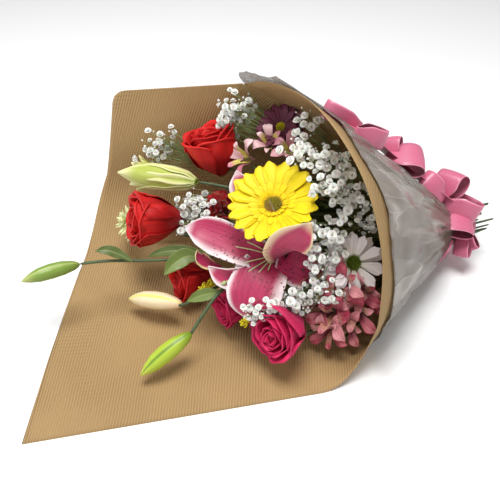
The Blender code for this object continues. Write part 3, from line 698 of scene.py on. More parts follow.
def lily_petal():
    """Living petal, thick and waxy: magenta washed out to a white rim, with raised dark freckles."""
    made, tree, shader = new_material("oriental_lily_petal", 0.42)
    shader.inputs["Sheen Weight"].default_value = 0.15
    shader.inputs["Subsurface Weight"].default_value = 0.12
    shader.inputs["Subsurface Scale"].default_value = 0.004
    uv = add(tree, "UVMap", {"uv_map": "UVMap"}).outputs[0]
    place = add(tree, "TexCoord").outputs["Object"]
    parts = add(tree, "SeparateXYZ", inputs={0: uv})
    far_side = add(tree, "Math", {"operation": "MULTIPLY_ADD"}, {0: parts.outputs["X"], 1: -2.2, 2: 2.2})
    edge = add(tree, "Math", {"operation": "MINIMUM"}, {0: parts.outputs["X"], 1: far_side.outputs[0]})
    drawn = add(tree, "Mapping", inputs={"Vector": uv, "Scale": (26.0, 2.5, 1.0)})
    veins = add(tree, "TexNoise", inputs={"Vector": drawn.outputs[0], "Scale": 1, "Detail": 3})
    ragged = add(tree, "Math", {"operation": "MULTIPLY_ADD"},
                 {0: veins.outputs["Fac"], 1: 0.10, 2: edge.outputs[0]})
    inward = add(tree, "MapRange", {"interpolation_type": "SMOOTHSTEP"}, {
        "Value": ragged.outputs[0], "From Min": 0.06, "From Max": 0.32, "To Min": 0, "To Max": 1})
    to_tip = add(tree, "MapRange", {"interpolation_type": "SMOOTHSTEP"}, {
        "Value": parts.outputs["Y"], "From Min": 0.82, "From Max": 1.0, "To Min": 1, "To Max": 0.1})
    throat = add(tree, "MapRange", {"interpolation_type": "SMOOTHSTEP"}, {
        "Value": parts.outputs["Y"], "From Min": 0.1, "From Max": 0.33, "To Min": 1, "To Max": 0})
    filled = add(tree, "Math", {"operation": "MAXIMUM"}, {0: inward.outputs[0], 1: throat.outputs[0]})
    blush = add(tree, "Math", {"operation": "MULTIPLY"}, {0: filled.outputs[0], 1: to_tip.outputs[0]})
    deep = add(tree, "Mix", {"data_type": "RGBA"}, {
        0: veins.outputs["Fac"], 6: hex_colour("#8A0E3C"), 7: hex_colour("#C83464")})
    creamy = add(tree, "Attribute", {"attribute_name": "tint"})
    pale = add(tree, "Mix", {"data_type": "RGBA"}, {
        0: creamy.outputs["Fac"], 6: hex_colour("#EFE0E0"), 7: hex_colour("#EFD8A0")})
    petal = add(tree, "Mix", {"data_type": "RGBA"}, {
        0: blush.outputs[0], 6: pale.outputs[2], 7: deep.outputs[2]})
    freckles = add(tree, "TexVoronoi", inputs={"Vector": place, "Scale": 240, "Randomness": 0.9})
    dot = add(tree, "MapRange", inputs={
        "Value": freckles.outputs["Distance"], "From Min": 0.20, "From Max": 0.30, "To Min": 1, "To Max": 0})
    freckled = add(tree, "MapRange", {"interpolation_type": "SMOOTHSTEP"}, {
        "Value": parts.outputs["Y"], "From Min": 0.45, "From Max": 0.75, "To Min": 0.9, "To Max": 0})
    dots = add(tree, "Math", {"operation": "MULTIPLY"}, {0: dot.outputs[0], 1: freckled.outputs[0]})
    colour = add(tree, "Mix", {"data_type": "RGBA"}, {
        0: dots.outputs[0], 6: petal.outputs[2], 7: hex_colour("#6E1038")})
    tree.links.new(colour.outputs[2], shader.inputs["Base Color"])
    raised = add(tree, "Math", {"operation": "MULTIPLY_ADD"},
                 {0: dots.outputs[0], 1: 0.8, 2: veins.outputs["Fac"]})
    bump = add(tree, "Bump", inputs={"Strength": 0.5, "Distance": 0.0006, "Height": raised.outputs[0]})
    tree.links.new(bump.outputs[0], shader.inputs["Normal"])
    return made


lily_finish = lily_petal()
ready(lily.piece("lily_petals", lily_finish, PETAL_THICKNESS, levels=1), "lily_petal", "lily_bloom")


def waxy_green(name, dark, light, roughness=0.45, drawn_by=(40.0, 40.0, 40.0)):
    """Living green tissue with a wax layer: two greens in soft streaks and a low gloss."""
    made, tree, shader = new_material(name, roughness)
    shader.inputs["Specular IOR Level"].default_value = 0.4
    place = add(tree, "TexCoord").outputs["Object"]
    drawn = add(tree, "Mapping", inputs={"Vector": place, "Scale": drawn_by})
    cells = add(tree, "TexNoise", inputs={"Vector": drawn.outputs[0], "Scale": 1, "Detail": 4})
    level = add(tree, "MapRange", inputs={
        "Value": cells.outputs["Fac"], "From Min": 0.3, "From Max": 0.7, "To Min": 0, "To Max": 1})
    colour = add(tree, "Mix", {"data_type": "RGBA"}, {
        0: level.outputs[0], 6: hex_colour(dark), 7: hex_colour(light)})
    tree.links.new(colour.outputs[2], shader.inputs["Base Color"])
    bump = add(tree, "Bump", inputs={"Strength": 0.2, "Distance": 0.0003, "Height": cells.outputs["Fac"]})
    tree.links.new(bump.outputs[0], shader.inputs["Normal"])
    return made


def add_tube(surface, line, radius, tip_radius=None, steps=6, sides=8):
    """A round tube along a path, tapered from radius to tip_radius in mm and closed at its ends."""
    path = smooth_path([mm(*p) for p in line], steps)
    tip_radius = radius if tip_radius is None else tip_radius
    rows, marks = [], []
    last = len(path) - 1
    helper = Vector((0.13, 0.21, 0.97))
    for i in [0, *range(last + 1), last]:
        run = (path[min(i + 1, last)] - path[max(i - 1, 0)]).normalized()
        side = run.cross(helper).normalized()
        top = side.cross(run)
        size = between(radius, tip_radius, i / last) * MM
        if len(rows) in (0, last + 2):
            size = 0.01 * MM
        ring = [path[i] + (side * math.cos(a) + top * math.sin(a)) * size
                for a in [2 * math.pi * k / sides for k in range(sides)]]
        rows.append(list(reversed(ring)))
        marks.append([(k / sides, i / last) for k in range(sides)])
    surface.grid(rows, marks, closed=True)


filaments = Surface()
FILAMENT_TIPS = [(-41, -14, 107), (-46, -26, 92), (-45, -36, 83), (-36, -44, 80), (-20, -46, 84),
                 (-30, -12, 110)]
for end in FILAMENT_TIPS:
    middle = between(Vector((-6, -32, 96)), Vector(end), 0.55) + Vector((-2, -5, 7))
    add_tube(filaments, [(4, -28, 88), (-4, -31, 97), middle, end], 0.8, 0.55)
add_tube(filaments, [(4, -28, 88), (-8, -33, 96), (-34, -38, 90), (-60, -34, 80)], 1.5, 1.3)
add_tube(filaments, [(-59, -34, 80.6), (-61, -34, 79.6), (-63, -34, 78.4)], 2.4, 1.8, steps=2)
filament_finish = waxy_green("lily_filament", "#A7B27A", "#DDDDB0", 0.4)
ready(filaments.piece("lily_filaments", filament_finish), "green_stem")

# The low bud's stalk: only the length that shows, from under the open lily to the bud.
low_stalk = Surface()
low_line = [(-20, -20, 62), (-46, -26, 71), (-67, -33, 66), (-85, -43, 55), (-104, -53.5, 39.5)]
add_tube(low_stalk, low_line, 1.9, 1.7)
ready(low_stalk.piece("low_bud_stalk_round", stem_finish), "green_stem", "low_bud_stalk")

# ---- Lily buds -----------------------------------------------------------------------------
# Closed lily buds: spindles of three outer petals that meet in shallow seams from foot to tip.
# One is pale cream and about to open, two are green, and one has begun to spread its tips.


def make_bud(base, tip, girth, bend=0.0):
    """A spindle from base to tip with six shallow seams. girth is its widest radius in mm."""
    base, tip = mm(*base), mm(*tip)
    run = tip - base
    way = run.normalized()
    side = way.cross(Vector((0.1, 0.2, 1))).normalized()
    top = side.cross(way)
    swell = [(0, 0.15), (0.04, 0.42), (0.12, 0.66), (0.3, 0.93), (0.5, 1.0), (0.7, 0.9), (0.86, 0.58),
             (0.95, 0.27), (1, 0.04)]
    bud, rows, marks = Surface(), [], []
    for i in range(41):
        t = i / 40
        size = along(swell, t) * girth * MM
        middle = base + run * t + top * bend * MM * math.sin(t * math.pi)
        row, row_marks = [], []
        for k in range(36):
            turn = 2 * math.pi * k / 36
            seam = abs(math.sin(turn * 1.5)) ** 0.35
            lobe = 1 - 0.13 * (1 - seam) - 0.04 * (1 - abs(math.sin(turn * 1.5 + math.pi / 2)) ** 0.4)
            row.append(middle + (side * math.cos(turn) + top * math.sin(turn)) * size * lobe)
            row_marks.append((k / 12, t))
        rows.append(list(reversed(row)))
        marks.append(list(reversed(row_marks)))
    for ends, mark in ((rows[0], 0.0), (rows[-1], 1.0)):
        middle = sum(ends, Vector()) / len(ends)
        closing = [middle.copy() for _ in ends]
        if mark == 0:
            rows.insert(0, closing)
            marks.insert(0, marks[0])
        else:
            rows.append(closing)
            marks.append(marks[-1])
    bud.grid(rows, marks, closed=True)
    return bud


def bud_skin(name, seam, body, foot, tip):
    """Unopened petals, waxy: lighter along each seam and streaked by the petals' veins."""
    made, tree, shader = new_material(name, 0.38)
    shader.inputs["Specular IOR Level"].default_value = 0.45
    uv = add(tree, "UVMap", {"uv_map": "UVMap"}).outputs[0]
    parts = add(tree, "SeparateXYZ", inputs={0: uv})
    drawn = add(tree, "Mapping", inputs={"Vector": uv, "Scale": (22.0, 3.0, 1.0)})
    veins = add(tree, "TexNoise", inputs={"Vector": drawn.outputs[0], "Scale": 1, "Detail": 2})
    near_seam = add(tree, "Math", {"operation": "PINGPONG"}, {0: parts.outputs["X"], 1: 0.5})
    seam_line = add(tree, "MapRange", {"interpolation_type": "SMOOTHSTEP"}, {
        "Value": near_seam.outputs[0], "From Min": 0.0, "From Max": 0.16, "To Min": 1, "To Max": 0})
    at_foot = add(tree, "MapRange", {"interpolation_type": "SMOOTHSTEP"}, {
        "Value": parts.outputs["Y"], "From Min": 0.0, "From Max": 0.35, "To Min": 1, "To Max": 0})
    at_tip = add(tree, "MapRange", {"interpolation_type": "SMOOTHSTEP"}, {
        "Value": parts.outputs["Y"], "From Min": 0.75, "From Max": 1.0, "To Min": 0, "To Max": 1})
    streaked = add(tree, "Mix", {"data_type": "RGBA"}, {
        0: veins.outputs["Fac"], 6: hex_colour(body[0]), 7: hex_colour(body[1])})
    footed = add(tree, "Mix", {"data_type": "RGBA"}, {
        0: at_foot.outputs[0], 6: streaked.outputs[2], 7: hex_colour(foot)})
    tipped = add(tree, "Mix", {"data_type": "RGBA"}, {
        0: at_tip.outputs[0], 6: footed.outputs[2], 7: hex_colour(tip)})
    colour = add(tree, "Mix", {"data_type": "RGBA"}, {
        0: seam_line.outputs[0], 6: tipped.outputs[2], 7: hex_colour(seam)})
    tree.links.new(colour.outputs[2], shader.inputs["Base Color"])
    bump = add(tree, "Bump", inputs={"Strength": 0.35, "Distance": 0.0005, "Height": veins.outputs["Fac"]})
    tree.links.new(bump.outputs[0], shader.inputs["Normal"])
    return made


lime_bud = bud_skin("lime_lily_bud", "#6A8C1E", ("#9AB828", "#C0D244"), "#7E9A2A", "#CED058")
olive_bud = bud_skin("olive_lily_bud", "#A9B96A", ("#6C8A34", "#93AC4C"), "#7C9440", "#B9BC72")
cream_bud_finish = bud_skin("cream_lily_bud", "#E4DC6C", ("#EAD2A4", "#F8E6C4"), "#EBC9A2", "#F0DC9A")
for name, base, tip, girth, finish, slot in [
    ("left_bud", (-195, 53, 74), (-255, 41, 78), 8.6, olive_bud, "green_bud_skin"),
    ("low_bud", (-103, -53, 40), (-162, -69, 16), 9.6, lime_bud, "green_bud_skin"),
    ("cream_bud", (-100, -4, 34), (-152, 38, 22), 10.4, cream_bud_finish, "cream_bud_skin"),
]:
    ready(make_bud(base, tip, girth, 1.5).piece(name + "_petals", finish), slot, name)

# The opening bud: a tube of six petals round its own axis, whose tips have begun to spread.
opening = Surface()
opening_base, opening_tip = Vector((-49, 98, 118)), Vector((-114, 166, 103))
opening_way = (opening_tip - opening_base).normalized()
opening_side = opening_way.cross(Vector((0, 0, 1))).normalized()
opening_top = opening_side.cross(opening_way)
opening_length = (opening_tip - opening_base).length
for number in range(6):
    turn = 2 * math.pi * number / 6 + 0.5
    out = opening_side * math.cos(turn) + opening_top * math.sin(turn)
    outer = number % 2 == 0
    line = []
    spread = [(0, 3), (0.12, 8), (0.35, 12), (0.6, 15), (0.8, 18), (0.98, 26 if outer else 18)]
    for share, radius in spread:
        radius = radius * (1 if outer else 0.86)
        spot = opening_base + opening_way * opening_length * share * (1 if outer else 0.95) + out * radius
        line.append(tuple(spot))
    widths = [(0, 9), (0.15, 20), (0.4, 29), (0.62, 31), (0.82, 20), (0.94, 8), (1, 1.5)]
    add_blade(opening, line, widths, -out, cup=0.62, waver=0.8, columns=12, tint=number / 6)
opening_skin = bud_skin("opening_lily_bud", "#E6E6A8", ("#9AAC40", "#C6CE68"), "#8CA038", "#E8E4AC")
made = opening.piece("opening_bud_petals", opening_skin, PETAL_THICKNESS, levels=1)
ready(made, "green_bud_skin", "opening_bud")

# ---- Leaves --------------------------------------------------------------------------------
# Narrow leaves on the lily stems: thin, folded a little along the midrib, with veins that run
# their whole length. These four are the loose ones in front. The inner ones are made last.


def green_leaf():
    """Fresh leaf: smooth and waxy, a paler midrib and fine parallel veins on a mid green blade."""
    made, tree, shader = new_material("fresh_green_leaf", 0.42)
    uv = add(tree, "UVMap", {"uv_map": "UVMap"}).outputs[0]
    parts = add(tree, "SeparateXYZ", inputs={0: uv})
    drawn = add(tree, "Mapping", inputs={"Vector": uv, "Scale": (38.0, 1.5, 1.0)})
    veins = add(tree, "TexNoise", inputs={"Vector": drawn.outputs[0], "Scale": 1, "Detail": 2})
    middle = add(tree, "Math", {"operation": "SUBTRACT"}, {0: parts.outputs["X"], 1: 0.5})
    off = add(tree, "Math", {"operation": "ABSOLUTE"}, {0: middle.outputs[0]})
    rib = add(tree, "MapRange", {"interpolation_type": "SMOOTHSTEP"}, {
        "Value": off.outputs[0], "From Min": 0.01, "From Max": 0.05, "To Min": 0.6, "To Max": 0})
    tint = add(tree, "Attribute", {"attribute_name": "tint"})
    green = add(tree, "Mix", {"data_type": "RGBA"}, {
        0: veins.outputs["Fac"], 6: hex_colour("#4A5C26"), 7: hex_colour("#86984A")})
    # A low tint darkens the blade towards #26341A. The inner foliage's low tints use this as painted shade.
    varied = add(tree, "Mix", {"data_type": "RGBA"}, {
        0: tint.outputs["Fac"], 6: hex_colour("#26341A"), 7: green.outputs[2]})
    colour = add(tree, "Mix", {"data_type": "RGBA"}, {
        0: rib.outputs[0], 6: varied.outputs[2], 7: hex_colour("#A4AE6A")})
    tree.links.new(colour.outputs[2], shader.inputs["Base Color"])
    bump = add(tree, "Bump", inputs={"Strength": 0.4, "Distance": 0.0004, "Height": veins.outputs["Fac"]})
    tree.links.new(bump.outputs[0], shader.inputs["Normal"])
    return made


leaf_finish = green_leaf()
LEAF_THICKNESS = 0.4 * MM
LEAF_SHAPE = [(0, 2), (0.15, 6), (0.4, 12), (0.6, 12), (0.8, 8), (0.94, 3), (1, 0.6)]
SHOWN_LEAVES = [
    # centre line, widest mm against the usual 12, upper side, tint, name, solid
    ([(-56, 30, 66), (-80, 40, 70), (-102, 49, 68), (-122, 57, 60)], 1.0, (-0.2, -0.6, 0.8), 0.6,
     "leaf_by_stalk", None),
    ([(-66, 20, 70), (-82, 26, 74), (-98, 24, 70), (-112, 18, 62)], 1.6, (-0.2, -0.7, 0.7), 1.0,
     "leaf_in_middle", "leaf_middle"),
    ([(-140, 40, 72), (-152, 47, 79), (-164, 52, 85), (-176, 54, 86)], 1.0, (0.3, -0.6, 0.7), 0.6,
     "leaf_on_left_stalk", "leaf_left"),
    ([(-62, -32, 66), (-74, -28, 64), (-86, -24, 60), (-98, -20, 53)], 1.1, (-0.3, -0.7, 0.7), 1.0,
     "leaf_by_low_bud", "leaf_low_bud"),
]
for line, size, normal, tint, name, node in SHOWN_LEAVES:
    leaf = Surface()
    widths = [(s, w * size) for s, w in LEAF_SHAPE]
    add_blade(leaf, line, widths, normal, cup=0.1, waver=0.5, tint=tint, fold=0.22)
    made = leaf.piece(name, leaf_finish, LEAF_THICKNESS, levels=1)
    ready(made, "leaf", *([node] if node else []))

# ---- Roses ---------------------------------------------------------------------------------
# Three red and two magenta roses. Each is a spiral of broad velvety petals round a tight core.
# The outer petals overlap by half, and their rims roll outwards.

ROSE_RINGS = [
    # petals, radius, height, half spread in radians, rim leans out, rim rolls, all in mm
    (3, 2.6, 44, 2.2, -0.8, 0.0),
    (3, 5.0, 46, 1.8, -0.6, 0.1),
    (4, 7.8, 47.5, 1.5, -0.2, 0.2),
    (4, 11.0, 49, 1.4, 0.6, 0.5),
    (4, 14.6, 50, 1.3, 1.4, 0.9),
    (4, 18.6, 50, 1.2, 2.6, 1.7),
    (5, 22.0, 47, 1.05, 4.0, 2.8),
]


def frame_at(base, way, size=1.0, roll=0.0):
    """The matrix that stands a flower on base, with its own +Z along way."""
    turn = Vector(way).to_track_quat("Z", "Y").to_matrix().to_4x4()
    return Matrix.Translation(mm(*base)) @ turn @ Matrix.Rotation(roll, 4, "Z") @ Matrix.Scale(size, 4)


def make_rose(base, way, size, roll, seed, openness=1.0, core_shift=(0, 0, 0), wild=1.0):
    """core_shift is how far in mm the core sits off the middle, and wild is how loose the rims are."""
    rose, chance, stand = Surface(), random.Random(seed), frame_at(base, way, size, roll)
    first = 0.0
    for ring, (count, belly, height, spread, lean, curl) in enumerate(ROSE_RINGS):
        first += 0.75
        for number in range(count):
            middle = first + 2 * math.pi * number / count + chance.uniform(-0.15, 0.15)
            tall = height + chance.uniform(-1.5, 1.5)
            own_lean = lean * openness * chance.uniform(0.7, 1.4)
            own_curl = curl * chance.uniform(0.6, 1.3)
            crease = chance.uniform(-0.5, 0.5)
            shift = Vector((chance.uniform(-50, 50), chance.uniform(-50, 50), 0))
            slump, slump_way = chance.uniform(0, 0.11) * belly * wild, chance.uniform(0, 6.28)
            rows, marks = [], []
            for i in range(17):
                t = i / 16
                row, row_marks = [], []
                for k in range(17):
                    u = k / 8 - 1
                    rim = 1 - 0.20 * abs(u) ** 2.4 + 0.02 * math.cos((u - crease) * 5)
                    rise = min(1, t / 0.84)
                    out = belly * (0.14 + 0.86 * math.sin(min(1, rise * 1.35) * math.pi / 2) ** 0.9)
                    out += own_lean * ease(rise * 1.6 - 0.6) + u * 0.9 + 0.7 * u * u * ring / 6
                    up = tall * rise * rim
                    rolled = max(0, (t - 0.84) / 0.16) * 2.3
                    fold = own_curl * (0.65 + 0.5 * math.exp(-(((u - crease) * 2.2) ** 2)))
                    out += fold * math.sin(rolled)
                    up += fold * 0.55 * (math.sin(rolled * 1.1) - 1.1 * (1 - math.cos(rolled)))
                    angle = middle + u * spread * between(0.55, 1, ease(rise * 2))
                    wave = noise.noise(Vector((u * 2.0, t * 2.6, 0)) + shift) * (1.0 + 0.16 * ring)
                    wave *= ease(t * 2) * wild
                    out = max(0.4, out + wave + slump * math.cos(angle - slump_way) * rise)
                    spot = stand @ mm(out * math.cos(angle), out * math.sin(angle), up + wave * 0.5)
                    row.append(spot + Vector(core_shift) * MM * rise * max(0, 1 - ring / 5))
                    row_marks.append((k / 16, t))
                rows.append(row)
                marks.append(row_marks)
            rose.grid(rows, marks, tint=chance.random())
    return rose


def rose_petal(name, deep, bright, rim):
    """Living rose petal: velvet from tiny cone cells, with painted shade deep towards each petal's foot and
    a painted highlight on the rolled rims.
    """
    made, tree, shader = new_material(name, 0.52)
    shader.inputs["Sheen Weight"].default_value = 0.35
    shader.inputs["Sheen Roughness"].default_value = 0.45
    shader.inputs["Sheen Tint"].default_value = hex_colour(rim)
    shader.inputs["Specular IOR Level"].default_value = 0.28
    uv = add(tree, "UVMap", {"uv_map": "UVMap"}).outputs[0]
    parts = add(tree, "SeparateXYZ", inputs={0: uv})
    drawn = add(tree, "Mapping", inputs={"Vector": uv, "Scale": (20.0, 2.0, 1.0)})
    veins = add(tree, "TexNoise", inputs={"Vector": drawn.outputs[0], "Scale": 1, "Detail": 3})
    tint = add(tree, "Attribute", {"attribute_name": "tint"})
    mixed = add(tree, "Math", {"operation": "MULTIPLY_ADD"},
                {0: tint.outputs["Fac"], 1: 0.45, 2: veins.outputs["Fac"]})
    # Painted shade: the petal darkens towards its foot, deep inside the rose.
    height = add(tree, "MapRange", {"interpolation_type": "SMOOTHSTEP"}, {
        "Value": parts.outputs["Y"], "From Min": 0.25, "From Max": 0.8, "To Min": 0.35, "To Max": 1.0})
    level = add(tree, "Math", {"operation": "MULTIPLY"}, {0: mixed.outputs[0], 1: height.outputs[0]})
    body = add(tree, "Mix", {"data_type": "RGBA"}, {
        0: level.outputs[0], 6: hex_colour(deep), 7: hex_colour(bright)})
    # Painted highlight: the rolled rim is mixed towards the paler rim colour.
    painted_rim_highlight = add(tree, "MapRange", {"interpolation_type": "SMOOTHSTEP"}, {
        "Value": parts.outputs["Y"], "From Min": 0.92, "From Max": 1.0, "To Min": 0, "To Max": 0.4})
    colour = add(tree, "Mix", {"data_type": "RGBA"}, {
        0: painted_rim_highlight.outputs[0], 6: body.outputs[2], 7: hex_colour(rim)})
    tree.links.new(colour.outputs[2], shader.inputs["Base Color"])
    bump = add(tree, "Bump", inputs={"Strength": 0.25, "Distance": 0.0005, "Height": veins.outputs["Fac"]})
    tree.links.new(bump.outputs[0], shader.inputs["Normal"])
    return made


# The first colour both varies the petals' tone and paints shade towards their feet; the last is the rims'
# painted highlight and the sheen's tint.
red_rose = rose_petal("red_rose_petal", "#7C0A12", "#D8221F", "#E04440")
magenta_rose = rose_petal("magenta_rose_petal", "#8A103E", "#DC2A60", "#E65484")
ROSE_PETAL_THICKNESS = 0.45 * MM
ROSES = [
    # name, foot, way it faces, size, roll, seed, openness, core shift, wildness, finish, slot
    ("red_rose_back", (-14, 110, 113), (-0.22, 0.22, 0.9), 1.14, 0.4, 11, 0.4, (0, 0, 0), 1.2,
     red_rose, "red_petal"),
    ("red_rose_left", (-74, 82, 83), (-0.94, 0.02, 0.22), 1.16, 1.3, 12, 0.9, (0, 0, 0), 1.2,
     red_rose, "red_petal"),
    ("red_rose_low", (-56, 34, 30), (-0.98, -0.05, 0.12), 0.84, 2.0, 13, 0.8, (0, 0, 0), 1.2,
     red_rose, "red_petal"),
    ("magenta_rose_front", (8, -77, 42), (-0.87, -0.39, 0.25), 0.98, 2.6, 17, 1.15, (-4, -3, -5), 2.0,
     magenta_rose, "magenta_petal"),
    ("magenta_rose_inner", (-28, -20, 32), (-0.98, -0.15, 0.02), 0.74, 0.2, 15, 0.9, (0, 0, 0), 1.3,
     magenta_rose, "magenta_petal"),
]
for name, base, way, size, roll, seed, openness, core_shift, wild, finish, slot in ROSES:
    rose = make_rose(base, way, size, roll, seed, openness, core_shift, wild)
    ready(rose.piece(name + "_petals", finish, ROSE_PETAL_THICKNESS), slot, name + "_bloom")

# ---- Gerbera and daisies -------------------------------------------------------------------
# Daisy-like flowers: strap petals set in rows round a disc packed with tiny florets. The gerbera
# is about 92 mm across, with two long rows, a short one and an inner frill. The white daisy has
# two rows and the burgundy one three.


def scatter_tree():
    """Sets one piece on every point, turned and sized by the point, then gives it its finish."""
    tree = bpy.data.node_groups.new("piece_on_every_point", "GeometryNodeTree")
    for name, kind in [("Points", "Geometry"), ("Piece", "Object"), ("Finish", "Material"),
                       ("Size Variation", "Float"), ("Tint Variation", "Float"), ("Seed", "Int")]:
        tree.interface.new_socket(name, in_out="INPUT", socket_type="NodeSocket" + kind)
    tree.interface.new_socket("Pieces", in_out="OUTPUT", socket_type="NodeSocketGeometry")
    given = tree.nodes.new("NodeGroupInput").outputs
    piece = add(tree, "GeometryNodeObjectInfo", inputs={"Object": given["Piece"]})
    turn = add(tree, "GeometryNodeInputNamedAttribute", {"data_type": "FLOAT_VECTOR"}, {"Name": "turn"})
    size = add(tree, "GeometryNodeInputNamedAttribute", {"data_type": "FLOAT"}, {"Name": "size"})
    tint = add(tree, "GeometryNodeInputNamedAttribute", {"data_type": "FLOAT"}, {"Name": "tint"})
    rotation = add(tree, "FunctionNodeEulerToRotation", inputs={0: turn.outputs[0]})
    centred = add(tree, "FunctionNodeRandomValue", {"data_type": "FLOAT"}, {
        2: -1.0, 3: 1.0, "Seed": given["Seed"]})
    grown = add(tree, "Math", {"operation": "MULTIPLY_ADD"}, {
        0: centred.outputs[1], 1: given["Size Variation"], 2: 1.0})
    scale = add(tree, "Math", {"operation": "MULTIPLY"}, {0: grown.outputs[0], 1: size.outputs[0]})
    placed = add(tree, "GeometryNodeInstanceOnPoints", inputs={
        "Points": given["Points"], "Instance": piece.outputs["Geometry"],
        "Rotation": rotation.outputs[0], "Scale": scale.outputs[0]})
    varied = add(tree, "Math", {"operation": "MULTIPLY_ADD"}, {
        0: centred.outputs[1], 1: given["Tint Variation"], 2: tint.outputs[0]})
    tinted = add(tree, "GeometryNodeStoreNamedAttribute", {"data_type": "FLOAT", "domain": "INSTANCE"}, {
        "Geometry": placed.outputs[0], "Name": "tint", "Value": varied.outputs[0]})
    whole = add(tree, "GeometryNodeRealizeInstances", inputs={0: tinted.outputs[0]})
    finished = add(tree, "GeometryNodeSetMaterial", inputs={
        "Geometry": whole.outputs[0], "Material": given["Finish"]})
    tree.links.new(finished.outputs[0], tree.nodes.new("NodeGroupOutput").inputs[0])
    return tree


SCATTER = scatter_tree()
GOLDEN_ANGLE = 2.39996  # radians: each disc floret is turned by this from the last


def scatter(name, spots, piece, finish, size_variation=0.06, tint_variation=0.25, seed=1):
    """A plain object made of copies of piece. A spot is (place, euler turn, size, tint)."""
    mesh = bpy.data.meshes.new(name + "_spots")
    mesh.from_pydata([spot[0] for spot in spots], [], [])
    for i, (attribute, kind, field) in enumerate(
            [("turn", "FLOAT_VECTOR", "vector"), ("size", "FLOAT", "value"), ("tint", "FLOAT", "value")], 1):
        values = [v for spot in spots for v in (spot[i] if field == "vector" else (spot[i],))]
        mesh.attributes.new(attribute, kind, "POINT").data.foreach_set(field, values)
    host = bpy.data.objects.new(name, mesh)
    bpy.context.scene.collection.objects.link(host)
    modifier = host.modifiers.new("scatter", "NODES")
    modifier.node_group = SCATTER
    sockets = {item.name: item.identifier for item in SCATTER.interface.items_tree}
    for socket, value in [("Piece", piece), ("Finish", finish), ("Size Variation", size_variation),
                          ("Tint Variation", tint_variation), ("Seed", seed)]:
        modifier[sockets[socket]] = value
    seen = host.evaluated_get(bpy.context.evaluated_depsgraph_get())
    plain = bpy.data.meshes.new_from_object(seen)
    plain.name = name
    bpy.data.objects.remove(host)
    made = bpy.data.objects.new(name, plain)
    bpy.context.scene.collection.objects.link(made)
    return made


def turned(matrix, *angles):
    """The Euler turn of matrix after turning about X, then Y, then Z by the angles in degrees."""
    turn = matrix.to_quaternion().to_matrix()
    for axis, angle in zip("ZYX", reversed(angles)):
        turn = turn @ Matrix.Rotation(math.radians(angle), 3, axis)
    return tuple(turn.to_euler())


def add_strap(surface, length, widths, grooves, depth, arch, columns=8):
    """A flat strap petal along +X from the origin, grooved lengthwise and arched by arch mm."""
    rows, marks = [], []
    for i in range(11):
        t = i / 10
        half = along(widths, t) / 2
        row, row_marks = [], []
        for k in range(columns + 1):
            u = k / columns * 2 - 1
            blunt = length * t * (1 - 0.10 * abs(u) ** 2 * t)
            crease = depth * math.cos(u * math.pi * grooves) * math.sin(min(1, t * 1.3) * math.pi * 0.7)
            lift = arch * math.sin(t * math.pi * 0.9) + 0.12 * half * u * u
            row.append(mm(blunt, half * u, lift + crease))
            row_marks.append((k / columns, t))
        rows.append(row)
        marks.append(row_marks)
    surface.grid(rows, marks)


def strap_petal(name, foot, body, tip, groove, roughness=0.5):
    """Living strap petal: thin and silky, with lengthwise veins, and painted shade darkening both long edges
    of each petal.
    """
    made, tree, shader = new_material(name, roughness)
    shader.inputs["Sheen Weight"].default_value = 0.15
    shader.inputs["Specular IOR Level"].default_value = 0.3
    uv = add(tree, "UVMap", {"uv_map": "UVMap"}).outputs[0]
    parts = add(tree, "SeparateXYZ", inputs={0: uv})
    tint = add(tree, "Attribute", {"attribute_name": "tint"})
    rise = add(tree, "MapRange", {"interpolation_type": "SMOOTHSTEP"}, {
        "Value": parts.outputs["Y"], "From Min": 0.05, "From Max": 0.65, "To Min": 0, "To Max": 1})
    lower = add(tree, "Mix", {"data_type": "RGBA"}, {
        0: rise.outputs[0], 6: hex_colour(foot), 7: hex_colour(body)})
    upper = add(tree, "Mix", {"data_type": "RGBA"}, {
        0: tint.outputs["Fac"], 6: lower.outputs[2], 7: hex_colour(tip)})
    drawn = add(tree, "Mapping", inputs={"Vector": uv, "Scale": (16.0, 1.4, 1.0)})
    veins = add(tree, "TexNoise", inputs={"Vector": drawn.outputs[0], "Scale": 1, "Detail": 2})
    # Painted shade: both long edges are mixed towards the groove colour, as if shaded by the next petal. The
    # vein streaks use the same colour.
    off = add(tree, "Math", {"operation": "PINGPONG"}, {0: parts.outputs["X"], 1: 0.5})
    crease = add(tree, "MapRange", {"interpolation_type": "SMOOTHSTEP"}, {
        "Value": off.outputs[0], "From Min": 0.0, "From Max": 0.07, "To Min": 0.5, "To Max": 0})
    streak = add(tree, "MapRange", {"interpolation_type": "SMOOTHSTEP"}, {
        "Value": veins.outputs["Fac"], "From Min": 0.58, "From Max": 0.74, "To Min": 0, "To Max": 0.5})
    dark = add(tree, "Math", {"operation": "MAXIMUM"}, {0: crease.outputs[0], 1: streak.outputs[0]})
    colour = add(tree, "Mix", {"data_type": "RGBA"}, {
        0: dark.outputs[0], 6: upper.outputs[2], 7: hex_colour(groove)})
    tree.links.new(colour.outputs[2], shader.inputs["Base Color"])
    bump = add(tree, "Bump", inputs={"Strength": 0.4, "Distance": 0.0006, "Height": veins.outputs["Fac"]})
    tree.links.new(bump.outputs[0], shader.inputs["Normal"])
    return made


def disc_floret(name, inner, middle, rim):
    """Unopened disc florets, matt and packed: the centre, the band round it and the dark rim."""
    made, tree, shader = new_material(name, 0.6)
    tint = add(tree, "Attribute", {"attribute_name": "tint"})
    ramp = add(tree, "ValToRGB", inputs={"Fac": tint.outputs["Fac"]})
    ramp.color_ramp.elements[0].color = hex_colour(inner)
    ramp.color_ramp.elements[1].color = hex_colour(rim)
    for place, code in [(0.45, inner), (0.62, middle), (0.85, middle)]:
        ramp.color_ramp.elements.new(place).color = hex_colour(code)
    tree.links.new(ramp.outputs["Color"], shader.inputs["Base Color"])
    return made


